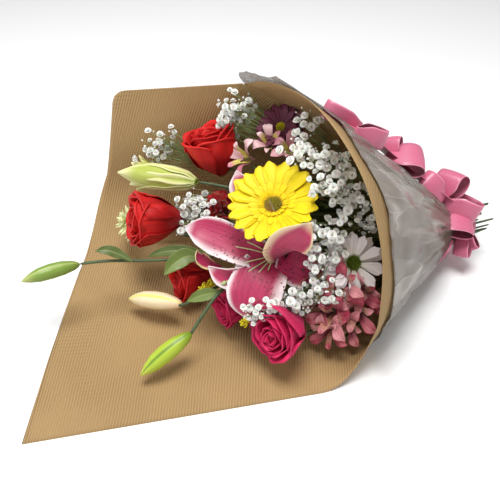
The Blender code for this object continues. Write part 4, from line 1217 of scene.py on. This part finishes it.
def make_daisy(name, base, way, rows, petal, disc, disc_radius, dome, seed, floret_size, roll=0.0):
    """Petal rows are (count, foot radius, height, tilt in degrees, size, tint, droop variation)."""
    stand, chance = frame_at(base, way, 1.0, roll), random.Random(seed)
    spots = []
    for count, foot, height, tilt, size, tint, loose in rows:
        first = chance.uniform(0, 360)
        for number in range(count):
            around = first + 360 * number / count + chance.uniform(-2.5, 2.5)
            a = math.radians(around)
            place = stand @ mm(foot * math.cos(a), foot * math.sin(a), height + chance.uniform(-0.5, 0.5))
            lifted = tilt + chance.uniform(-loose, loose)
            turn = turned(stand, chance.uniform(-9, 9), -lifted, around)
            spots.append((place, turn, size, tint))
    blooms = [scatter(name + "_petals", spots, petal[0], petal[1], 0.05, 0.22, seed)]
    spots = []
    count = int((disc_radius / floret_size) ** 2 * 1.25)
    for number in range(count):
        share = math.sqrt((number + 0.5) / count)
        a = number * GOLDEN_ANGLE
        r = disc_radius * share
        place = stand @ mm(r * math.cos(a), r * math.sin(a), rows[-1][2] + dome * (1 - share * share))
        spots.append((place, turned(stand, 0, 25 * share, math.degrees(a)), floret_size / 1.6, share))
    blooms.append(scatter(name + "_disc", spots, floret, disc, 0.15, 0.05, seed))
    return blooms


FLORET_PROFILE = [(0.95, -1.2), (1.0, 0.4), (0.62, 1.3), (0.1, 1.45)]  # radius and height, mm
floret_shape = Surface()
rings = [[mm(r * math.cos(k * math.pi / 3), r * math.sin(k * math.pi / 3), z) for k in range(6)]
         for r, z in FLORET_PROFILE]
floret_shape.grid(rings, [[(k / 6, i / 3) for k in range(6)] for i in range(4)], closed=True)
floret = floret_shape.piece("one_disc_floret", stem_finish)

gerbera_strap = Surface()
gerbera_outline = [(0, 4), (0.3, 9), (0.7, 14.5), (0.88, 15), (0.96, 13), (1, 8)]
add_strap(gerbera_strap, 37, gerbera_outline, 1.5, 0.5, 0.8)
gerbera_petal = gerbera_strap.piece("one_gerbera_petal", stem_finish)
# The last colour of each strap petal is painted shade along its long edges, and also colours its vein
# streaks.
yellow = strap_petal("yellow_gerbera_petal", "#EAA800", "#EEDC00", "#EECC00", "#B49400")
gerbera_disc = disc_floret("gerbera_disc_floret", "#8C8420", "#C9B82A", "#5E4C10")
blooms = make_daisy(
    "gerbera", (-1, -17, 149), (-0.30, -0.31, 0.90),
    [(20, 9, 3.4, 11, 1.02, 0.0, 2), (20, 8.5, 4.2, 13, 1.0, 0.1, 2), (26, 8.5, 4.8, 15, 0.46, 0.35, 3),
     (34, 8.6, 5.4, 26, 0.20, 0.6, 6)],
    (gerbera_petal, yellow), gerbera_disc, 9.3, 1.6, 21, 0.85)
ready(blooms[0], "yellow_petal", "gerbera_bloom")
ready(blooms[1], "yellow_petal")

white_strap = Surface()
white_outline = [(0, 3), (0.35, 7.5), (0.7, 10.5), (0.88, 10), (0.96, 7.5), (1, 3)]
add_strap(white_strap, 24, white_outline, 1.5, 0.3, 1.0)
white_petal = white_strap.piece("one_white_petal", stem_finish)
white = strap_petal("white_daisy_petal", "#DCDCC0", "#F4F0EE", "#E8DCE2", "#CFC6C8")
green_disc = disc_floret("green_disc_floret", "#5E7A10", "#7E9218", "#8A8A1C")
blooms = make_daisy(
    "white_daisy", (65, -71, 100), (-0.28, -0.70, 0.65),
    [(10, 7, 1.5, 0, 1.05, 0.1, 12), (9, 7, 2.6, 8, 1.0, 0.1, 12)],
    (white_petal, white), green_disc, 8.6, 2.0, 22, 0.8)
ready(blooms[0], "white_petal", "white_daisy_bloom")
ready(blooms[1], "white_petal")

burgundy = strap_petal("burgundy_daisy_petal", "#3A0C20", "#561630", "#6C2442", "#2C0A18")
yellow_disc = disc_floret("yellow_disc_floret", "#D8D000", "#F0E418", "#E0CC10")
blooms = make_daisy(
    "burgundy_daisy", (50, 90, 172), (-0.45, -0.40, 0.75),
    [(14, 5, 1.5, 0, 1.06, 0.2, 6), (14, 5, 2.6, 9, 0.98, 0.2, 6), (12, 5, 3.6, 20, 0.75, 0.3, 6)],
    (white_petal, burgundy), yellow_disc, 5.6, 2.2, 23, 0.7)
ready(blooms[0], "burgundy_petal", "burgundy_daisy_bloom")
ready(blooms[1], "burgundy_petal")

# ---- Carnation and mum ---------------------------------------------------------------------
# Deep between the roses: a red carnation of ruffled, saw-edged petals, and at the far left a
# cream-green mum of narrow incurved petals.


def make_ruffle():
    """One carnation petal: a fan along +X whose edge is ruffled and cut into teeth."""
    fan, rows, marks = Surface(), [], []
    for i in range(9):
        t = i / 8
        row, row_marks = [], []
        for k in range(19):
            u = k / 9 - 1
            reach = 20 * t * (1 - 0.12 * u * u) + (0.9 * (k % 2) if i == 8 else 0)
            ruffle = 2.6 * t * t * math.sin(u * 9)
            row.append(mm(reach * math.cos(u * 0.62), reach * math.sin(u * 0.62), ruffle + 3 * t * t))
            row_marks.append((k / 18, t))
        rows.append(row)
        marks.append(row_marks)
    fan.grid(rows, marks)
    return fan.piece("one_carnation_petal", stem_finish)


def make_pompon(name, base, way, petal, finish, rings, seed, size_variation=0.08):
    """Rings of petals from the outside in. A ring is (count, height in mm, tilt in degrees, size)."""
    stand, chance, spots = frame_at(base, way), random.Random(seed), []
    for count, height, tilt, size in rings:
        for number in range(count):
            around = 360 * (number + chance.random()) / count
            turn = turned(stand, chance.uniform(-15, 15), -tilt + chance.uniform(-8, 8), around)
            spots.append((stand @ mm(0, 0, height), turn, size, 0.5))
    return scatter(name, spots, petal, finish, size_variation, 0.4, seed)


ruffle = make_ruffle()
carnation = make_pompon(
    "red_carnation_petals", (-12, 72, 76), (-0.75, 0.1, 0.6), ruffle,
    strap_petal("red_carnation_petal", "#5A0810", "#B01820", "#C8282C", "#4A060C"),
    [(9, 16, 5, 1.2), (9, 18, 22, 1.15), (8, 20, 42, 1.05), (7, 21, 62, 0.95), (5, 22, 80, 0.85)], 31)
ready(carnation, "red_petal", "red_carnation_bloom")

narrow_strap = Surface()
narrow_outline = [(0, 2.5), (0.4, 4.2), (0.75, 5.6), (0.92, 4), (1, 0.8)]
add_strap(narrow_strap, 25, narrow_outline, 0.5, 0.5, 3.5, columns=4)
narrow_petal = narrow_strap.piece("one_mum_petal", stem_finish)
mum = make_pompon(
    "cream_mum_petals", (-112, 134, 46), (-0.8, 0.0, 0.5), narrow_petal,
    strap_petal("cream_mum_petal", "#A9B060", "#EDEDBE", "#D9DE96", "#B9BC74"),
    [(16, 6, 8, 1.0), (15, 8, 25, 1.0), (13, 10, 42, 0.98), (10, 12, 60, 0.9), (7, 13, 78, 0.8)], 32)
ready(mum, "cream_bud_skin", "cream_mum_bloom")

# ---- Alstroemeria --------------------------------------------------------------------------
# Peruvian lilies: funnels of three broad plain petals and three narrow ones, whose yellow
# throats carry dark streaks. Pale pink behind, coral in front by the daisy.

FLORET_THICKNESS = 0.35 * MM
BROAD_LINE = [(1.5, 0), (5, 11), (12, 22), (21, 28), (30, 25)]  # out and up, mm
NARROW_LINE = [(1.2, 0), (3.5, 10), (8, 20), (14, 29), (20, 31)]
BROAD_SWELL = [(0, 3), (0.3, 6), (0.55, 12), (0.75, 14), (0.9, 8), (1, 1)]
NARROW_SWELL = [(0, 3), (0.35, 6), (0.65, 9), (0.85, 7.5), (0.96, 3), (1, 0.8)]


def add_floret(plain, streaked, base, way, size, roll, chance):
    """A floret, with its broad petals in one surface and its narrow streaked ones in the other."""
    stand = frame_at(base, way, size, roll)
    for number in range(6):
        a = math.pi * number / 3 + chance.uniform(-0.1, 0.1)
        outline = BROAD_LINE if number % 2 else NARROW_LINE
        flop = chance.uniform(0.85, 1.12)
        line = []
        for out, up in outline:
            spot = stand @ mm(out * flop * math.cos(a), out * flop * math.sin(a), up / flop)
            line.append(tuple(spot / MM))
        top = stand.to_3x3() @ Vector((-math.cos(a) * 0.7, -math.sin(a) * 0.7, 0.8))
        swell = [(s, w * size) for s, w in (BROAD_SWELL if number % 2 else NARROW_SWELL)]
        add_blade(plain if number % 2 else streaked, line, swell, top, 0.22, 1.0, 2, tint=chance.random())


def floret_petal(name, body, rim, foot, throat=None):
    """Alstroemeria petal, thin and satiny, with painted shade darkening it towards the foot, deep in the
    funnel. The narrow ones have a yellow throat with dark dashes.
    """
    made, tree, shader = new_material(name, 0.45)
    shader.inputs["Sheen Weight"].default_value = 0.2
    uv = add(tree, "UVMap", {"uv_map": "UVMap"}).outputs[0]
    parts = add(tree, "SeparateXYZ", inputs={0: uv})
    drawn = add(tree, "Mapping", inputs={"Vector": uv, "Scale": (16.0, 1.6, 1.0)})
    veins = add(tree, "TexNoise", inputs={"Vector": drawn.outputs[0], "Scale": 1, "Detail": 3})
    tint = add(tree, "Attribute", {"attribute_name": "tint"})
    mixed = add(tree, "Math", {"operation": "MULTIPLY_ADD"},
                {0: tint.outputs["Fac"], 1: 0.5, 2: veins.outputs["Fac"]})
    level = add(tree, "MapRange", {"interpolation_type": "SMOOTHSTEP"}, {
        "Value": mixed.outputs[0], "From Min": 0.55, "From Max": 0.95, "To Min": 0, "To Max": 1})
    petal = add(tree, "Mix", {"data_type": "RGBA"}, {
        0: level.outputs[0], 6: hex_colour(body), 7: hex_colour(rim)})
    # Painted shade: the petal darkens towards its foot.
    painted_funnel_shade = add(tree, "MapRange", {"interpolation_type": "SMOOTHSTEP"}, {
        "Value": parts.outputs["Y"], "From Min": 0.15, "From Max": 0.8, "To Min": 0.8, "To Max": 0})
    final = add(tree, "Mix", {"data_type": "RGBA"}, {
        0: painted_funnel_shade.outputs[0], 6: petal.outputs[2], 7: hex_colour(foot)}).outputs[2]
    if throat:
        low = add(tree, "MapRange", {"interpolation_type": "SMOOTHSTEP"}, {
            "Value": parts.outputs["Y"], "From Min": 0.55, "From Max": 0.85, "To Min": 1, "To Max": 0})
        yellowed = add(tree, "Mix", {"data_type": "RGBA"}, {
            0: low.outputs[0], 6: final, 7: hex_colour(throat)})
        dashes = add(tree, "Mapping", inputs={"Vector": uv, "Scale": (9.0, 7.0, 1.0)})
        cells = add(tree, "TexVoronoi", inputs={"Vector": dashes.outputs[0], "Scale": 1})
        dash = add(tree, "MapRange", inputs={
            "Value": cells.outputs["Distance"], "From Min": 0.16, "From Max": 0.24,
            "To Min": 0.9, "To Max": 0})
        final = add(tree, "Mix", {"data_type": "RGBA"}, {
            0: dash.outputs[0], 6: yellowed.outputs[2], 7: hex_colour("#5A1824")}).outputs[2]
    tree.links.new(final, shader.inputs["Base Color"])
    bump = add(tree, "Bump", inputs={"Strength": 0.3, "Distance": 0.0004, "Height": veins.outputs["Fac"]})
    tree.links.new(bump.outputs[0], shader.inputs["Normal"])
    return made


# The third colour of each spray is its petals' foot: painted shade, dark deep in the funnels.
ALSTROEMERIA = {
    "alstroemeria_upper": (
        [((16, 84, 140), (-0.85, -0.15, 0.5), 0.85, 0.2), ((38, 84, 150), (-0.35, -0.3, 0.8), 0.78, 0.9),
         ((46, 56, 156), (-0.25, -0.5, 0.8), 0.72, 0.4)],
        ("#C87488", "#F4D0D0", "#A85464"), "#C9BC5A", ("alstroemeria_upper_a", "alstroemeria_upper_b")),
    "alstroemeria_lower": (
        [((60, -64, 58), (-0.55, -0.6, 0.5), 1.0, 0.1), ((78, -72, 60), (-0.5, -0.7, 0.5), 0.95, 0.7),
         ((50, -78, 42), (-0.7, -0.6, 0.4), 0.95, 0.3), ((72, -82, 46), (-0.6, -0.7, 0.4), 0.95, 0.5),
         ((52, -52, 82), (-0.6, -0.5, 0.5), 0.85, 0.0), ((60, -72, 74), (-0.6, -0.5, 0.6), 0.85, 0.8),
         ((88, -78, 52), (-0.6, -0.6, 0.5), 0.75, 0.6), ((48, -82, 28), (-0.8, -0.5, 0.2), 0.85, 1.0),
         ((84, -76, 72), (-0.6, -0.6, 0.3), 0.7, 0.9), ((64, -84, 32), (-0.7, -0.7, 0.3), 0.8, 0.2),
         ((44, -68, 48), (-0.8, -0.3, 0.4), 0.8, 0.4)],
        ("#A01238", "#DC9498", "#40081A"), "#C89078", ("alstroemeria_lower_a", "alstroemeria_lower_b")),
}
for name, (florets, shades, throat, nodes) in ALSTROEMERIA.items():
    plain, streaked, chance = Surface(), Surface(), random.Random(41)
    for base, way, size, roll in florets:
        add_floret(plain, streaked, base, way, size, roll, chance)
    made = plain.piece(name + "_broad_petals", floret_petal(name + "_broad", *shades), FLORET_THICKNESS)
    ready(made, "pink_petal", *nodes)
    made = streaked.piece(name + "_narrow_petals", floret_petal(name + "_narrow", *shades, throat),
                          FLORET_THICKNESS)
    ready(made, "pink_petal")

# ---- Baby's breath -------------------------------------------------------------------------
# Gypsophila sprays: hair-thin branching twigs, each with a double white floret 5 to 10 mm across
# or a bud at its tip. Only the heads are made: their stems would be hidden inside the wrap.

PUFF_RINGS = [(6, 3.0, 0.5, 2.5, 0.0), (5, 2.1, 1.7, 2.2, 0.5), (3, 1.0, 2.3, 1.6, 0.2)]


def make_puff():
    """One double floret in few faces. A ring is (petals, reach, rise, width in mm, turn)."""
    puff = Surface()
    for count, reach, rise, wide, spin in PUFF_RINGS:
        for number in range(count):
            a = 2 * math.pi * number / count + spin
            out, side = Vector((math.cos(a), math.sin(a), 0)), Vector((-math.sin(a), math.cos(a), 0))
            top = Vector((0, 0, 1))
            low = [(side * s * 0.45 + out * 0.2 + top * 0.1) * MM for s in (-1, 1)]
            mid = [(side * s * wide / 1.5 + out * reach * 0.62 + top * rise) * MM for s in (-1, 1)]
            high = [(side * s * wide / 2.2 + out * reach + top * rise * 1.3) * MM for s in (-1, 1)]
            puff.grid([low, mid, high], [[(0, 0), (1, 0)], [(0, 0.6), (1, 0.6)], [(0, 1), (1, 1)]])
    return puff.piece("one_baby_breath_floret", stem_finish)


def make_round_bud(name, radius, length):
    """A small closed bud along +Z."""
    ball = Surface()
    rows = [[mm(radius * math.sin(i * math.pi / 5) * math.cos(k * math.pi / 3),
                radius * math.sin(i * math.pi / 5) * math.sin(k * math.pi / 3),
                -length * math.cos(i * math.pi / 5)) for k in range(6)] for i in range(6)]
    ball.grid(rows, [[(k / 6, i / 5) for k in range(6)] for i in range(6)], closed=True)
    return ball.piece(name, stem_finish)


def white_floret():
    """Gypsophila petal: thin, matt and bright white, with a faint green-cream heart."""
    made, tree, shader = new_material("baby_breath_floret", 0.6)
    shader.inputs["Subsurface Weight"].default_value = 0.2
    shader.inputs["Subsurface Scale"].default_value = 0.002
    tint = add(tree, "Attribute", {"attribute_name": "tint"})
    uv = add(tree, "UVMap", {"uv_map": "UVMap"}).outputs[0]
    parts = add(tree, "SeparateXYZ", inputs={0: uv})
    heart = add(tree, "MapRange", {"interpolation_type": "SMOOTHSTEP"}, {
        "Value": parts.outputs["Y"], "From Min": 0.0, "From Max": 0.4, "To Min": 0.6, "To Max": 0})
    white = add(tree, "Mix", {"data_type": "RGBA"}, {
        0: tint.outputs["Fac"], 6: hex_colour("#F0EEE4"), 7: hex_colour("#FFFFFF")})
    colour = add(tree, "Mix", {"data_type": "RGBA"}, {
        0: heart.outputs[0], 6: white.outputs[2], 7: hex_colour("#BFC79A")})
    tree.links.new(colour.outputs[2], shader.inputs["Base Color"])
    return made


puff = make_puff()
round_bud = make_round_bud("one_baby_breath_bud", 1.0, 1.3)
white_finish = white_floret()
twig_finish = waxy_green("baby_breath_twig", "#5A6A38", "#94A068", 0.5)
TOWARDS_TIE = mm(200, 12, 60)
APART = 6.2 * MM
HEADS_PER_FLORET = 1.7  # the heads beyond one are buds
SPRAYS = {
    # solid: clouds of (centre, spread along x y z, florets), all in mm
    "baby_breath_right": [((66, -18, 188), (13, 14, 9), 15), ((48, 24, 208), (10, 14, 8), 13),
                          ((76, -46, 164), (12, 10, 12), 15), ((34, 4, 196), (11, 15, 9), 17)],
    "baby_breath_top": [((44, -22, 198), (12, 13, 9), 17), ((36, -44, 180), (10, 10, 12), 14),
                        ((52, -42, 182), (12, 10, 11), 15)],
    "baby_breath_middle": [((50, -58, 138), (14, 9, 13), 20), ((30, -56, 136), (13, 7, 9), 14),
                           ((66, -46, 156), (11, 8, 11), 16), ((88, -52, 138), (9, 7, 11), 16),
                           ((44, -66, 112), (11, 6, 9), 12)],
    "baby_breath_front": [((28, -64, 104), (9, 9, 12), 18), ((24, -78, 84), (13, 9, 9), 24),
                          ((-2, -79, 76), (15, 6, 8), 26), ((-40, -70, 64), (8, 5, 7), 18),
                          ((36, -82, 70), (13, 8, 8), 14), ((-22, -76, 71), (10, 5, 6), 16)],
    "baby_breath_left": [((-58, 88, 94), (14, 12, 11), 28), ((-74, 78, 80), (9, 10, 10), 18),
                         ((-44, 76, 92), (9, 10, 10), 12)],
    "baby_breath_back": [((-77, 158, 134), (14, 7, 14), 28), ((10, 122, 186), (15, 7, 14), 30),
                         ((-2, 122, 172), (9, 5, 8), 12)],
}
for number, (node, clouds) in enumerate(SPRAYS.items()):
    chance, spots, bud_spots, twigs = random.Random(50 + number), [], [], Surface()
    for centre, spread, count in clouds:
        middle = mm(*centre)
        fork = between(middle, TOWARDS_TIE, 0.28)
        joints = [fork + Vector([chance.gauss(0, 4) * MM for _ in range(3)]) for _ in range(4)]
        for index in range(int(count * HEADS_PER_FLORET)):
            for _ in range(30):  # florets push each other apart
                offset = Vector([chance.gauss(0, 0.66) * s * MM for s in spread])
                spot = middle + offset
                if all((spot - other[0]).length > APART for other in spots):
                    break
            away = (offset.normalized() * 0.7 + Vector((-0.45, -0.45, 0.75))
                    + Vector([chance.uniform(-0.6, 0.6) for _ in range(3)]))
            turn = tuple(away.to_track_quat("Z", "Y").to_euler())
            if index < count:
                spots.append((spot, turn, chance.uniform(0.9, 1.55), chance.random()))
            else:
                bud_spots.append((spot, turn, chance.uniform(0.7, 1.3), chance.random()))
            start = joints[index % 4]
            bend = between(start, spot, 0.6) + Vector([chance.gauss(0, 2.5) * MM for _ in range(3)])
            line = [tuple(p / MM) for p in (start, bend, spot - away.normalized() * 0.4 * MM)]
            add_tube(twigs, line, 0.35, 0.25, steps=3, sides=4)
        for joint in joints:
            add_tube(twigs, [tuple(p / MM) for p in (fork, joint)], 0.6, 0.5, steps=2, sides=5)
    made = scatter(node + "_florets", spots, puff, white_finish, 0.12, 0.2, 60 + number)
    ready(made, "white_petal", node)
    made = scatter(node + "_buds", bud_spots, round_bud, white_finish, 0.2, 0.2, 70 + number)
    ready(made, "white_petal")
    ready(twigs.piece(node + "_twigs", twig_finish), "green_stem")

# ---- Goldenrod -----------------------------------------------------------------------------
# Solidago: two short plumes crowded with tiny yellow florets, and one loose tip by the front
# rose. Its twigs are covered by the florets and aren't made.

bead = make_round_bud("one_goldenrod_bead", 1.3, 1.5)


def yellow_bead():
    """Goldenrod florets: matt tufts of pollen-bright yellow, some still greenish."""
    made, tree, shader = new_material("goldenrod_floret", 0.7)
    tint = add(tree, "Attribute", {"attribute_name": "tint"})
    colour = add(tree, "Mix", {"data_type": "RGBA"}, {
        0: tint.outputs["Fac"], 6: hex_colour("#A8A010"), 7: hex_colour("#F4DC14")})
    tree.links.new(colour.outputs[2], shader.inputs["Base Color"])
    return made


PLUMES = [  # from, to, girth in mm, florets
    ((-80, -16, 61), (-62, -6, 60), 5, 130),
    ((-52, -68, 50), (-46, -66, 54), 4, 40),
    ((-60, -10, 60), (-48, -14, 58), 4, 50),
]
chance, spots = random.Random(81), []
for start, end, girth, count in PLUMES:
    for _ in range(count):
        spot = between(mm(*start), mm(*end), chance.random())
        away = Vector([chance.gauss(0, 1) for _ in range(3)]).normalized()
        place = spot + away * girth * MM * chance.uniform(0.4, 1)
        turn = tuple(away.to_track_quat("Z", "Y").to_euler())
        spots.append((place, turn, chance.uniform(0.7, 1.1), chance.random()))
made = scatter("goldenrod_florets", spots, bead, yellow_bead(), 0.15, 0.2, 82)
ready(made, "goldenrod_floret", "goldenrod")

# ---- Foliage between the flowers -----------------------------------------------------------
# Leaves deep in the wrap, real foliage given low tints so they come out dark green: they stand in for the
# deep shade in the gaps between the blooms. As only their faces are seen there, they are bare blades without
# a thickness.

INNER_LEAVES = 150
FOLIAGE_FRONT, FOLIAGE_BACK = mm(30, 10, 70), mm(170, 12, 62)
LOWEST_LEAF = 8  # mm
HIGHEST_TIP = wall_top_z(0) / MM - 45
chance, foliage = random.Random(91), Surface()
for _ in range(INNER_LEAVES):
    reach = chance.random()
    scattered = Vector((0, chance.gauss(0, 34) * (1 - reach * 0.6) * MM,
                        chance.gauss(0, 26) * (1 - reach * 0.6) * MM))
    root = between(FOLIAGE_FRONT, FOLIAGE_BACK, reach) + scattered
    way = Vector((-1, chance.gauss(0, 0.6), chance.gauss(0.15, 0.5))).normalized()
    length = chance.uniform(38, 70)
    sag = Vector((0, 0, chance.uniform(-14, 10)))
    line = [tuple(root / MM + way * length * s + sag * s * s) for s in (0, 0.33, 0.66, 1)]
    if min(p[2] for p in line) < LOWEST_LEAF or line[-1][2] > HIGHEST_TIP:
        continue
    normal = Vector((chance.uniform(-0.6, 0.2), chance.uniform(-0.9, 0.3), 0.8))
    size = chance.uniform(0.7, 1.5)
    widths = [(s, w * size) for s, w in LEAF_SHAPE]
    # Low tints paint these leaves dark, as shade between the blooms.
    add_blade(foliage, line, widths, normal, 0.15, 0.8, columns=6, tint=chance.uniform(0, 0.45), fold=0.2)
ready(foliage.piece("inner_foliage", leaf_finish), "leaf")

# The single florets and petals that were copied are not pieces themselves.
for template in (floret, gerbera_petal, white_petal, ruffle, narrow_petal, puff, round_bud, bead):
    bpy.data.objects.remove(template)

# ---- Floor, camera and light ---------------------------------------------------------------
# A plain pale studio floor that the bouquet lies on, lit by a large soft light overhead and
# weaker ones from the left and the front, with a pale surround that fills the shadows.

STUDIO_WHITE = "#FFFFFF"
FLOOR_HALF = 4  # metres
floor_mesh = bpy.data.meshes.new("studio_floor")
floor_corners = [(x * FLOOR_HALF, y * FLOOR_HALF, 0) for x, y in ((-1, -1), (1, -1), (1, 1), (-1, 1))]
floor_mesh.from_pydata(floor_corners, [], [(0, 1, 2, 3)])
floor_finish, _, floor_shader = new_material("pale_studio_floor", 0.85)
floor_shader.inputs["Base Color"].default_value = hex_colour(STUDIO_WHITE)
floor_shader.inputs["Specular IOR Level"].default_value = 0.1
floor_mesh.materials.append(floor_finish)
floor = bpy.data.objects.new("studio_floor", floor_mesh)
bpy.context.scene.collection.objects.link(floor)


def area_light(name, place, aim, size, power):
    """A round soft light, size metres across, aimed at a point."""
    data = bpy.data.lights.new(name, "AREA")
    data.shape = "DISK"
    data.size = size
    data.energy = power
    lamp = bpy.data.objects.new(name, data)
    bpy.context.scene.collection.objects.link(lamp)
    lamp.location = place
    lamp.rotation_euler = (Vector(aim) - Vector(place)).to_track_quat("-Z", "Y").to_euler()
    return lamp


lights = [
    area_light("overhead_softbox", (-0.10, -0.10, 1.9), (0, 0, 0), 0.9, 33),
    area_light("left_softbox", (-1.5, 0.1, 1.0), (0, 0, 0.08), 0.9, 7),
    area_light("front_fill", (-0.9, -1.7, 1.1), (0, 0, 0.08), 1.2, 4),
]
world = bpy.data.worlds.new("pale_surround")
world.use_nodes = True
world.node_tree.nodes["Background"].inputs["Color"].default_value = hex_colour(STUDIO_WHITE)
world.node_tree.nodes["Background"].inputs["Strength"].default_value = 0.34
scene = bpy.context.scene
scene.world = world
scene.view_settings.view_transform = "Standard"

camera_data = bpy.data.cameras.new("camera")
LENS, SENSOR = 43.2, 36  # mm
camera_data.lens = LENS
camera_data.sensor_width = SENSOR
camera_data.clip_start = 0.01
camera = bpy.data.objects.new("camera", camera_data)
scene.collection.objects.link(camera)
camera.location = (-0.1885, -0.4630, 0.4988)
CAMERA_BACK = Vector((-0.262, -0.720, 0.643))
camera.rotation_euler = CAMERA_BACK.to_track_quat("Z", "Y").to_euler()
scene.camera = camera
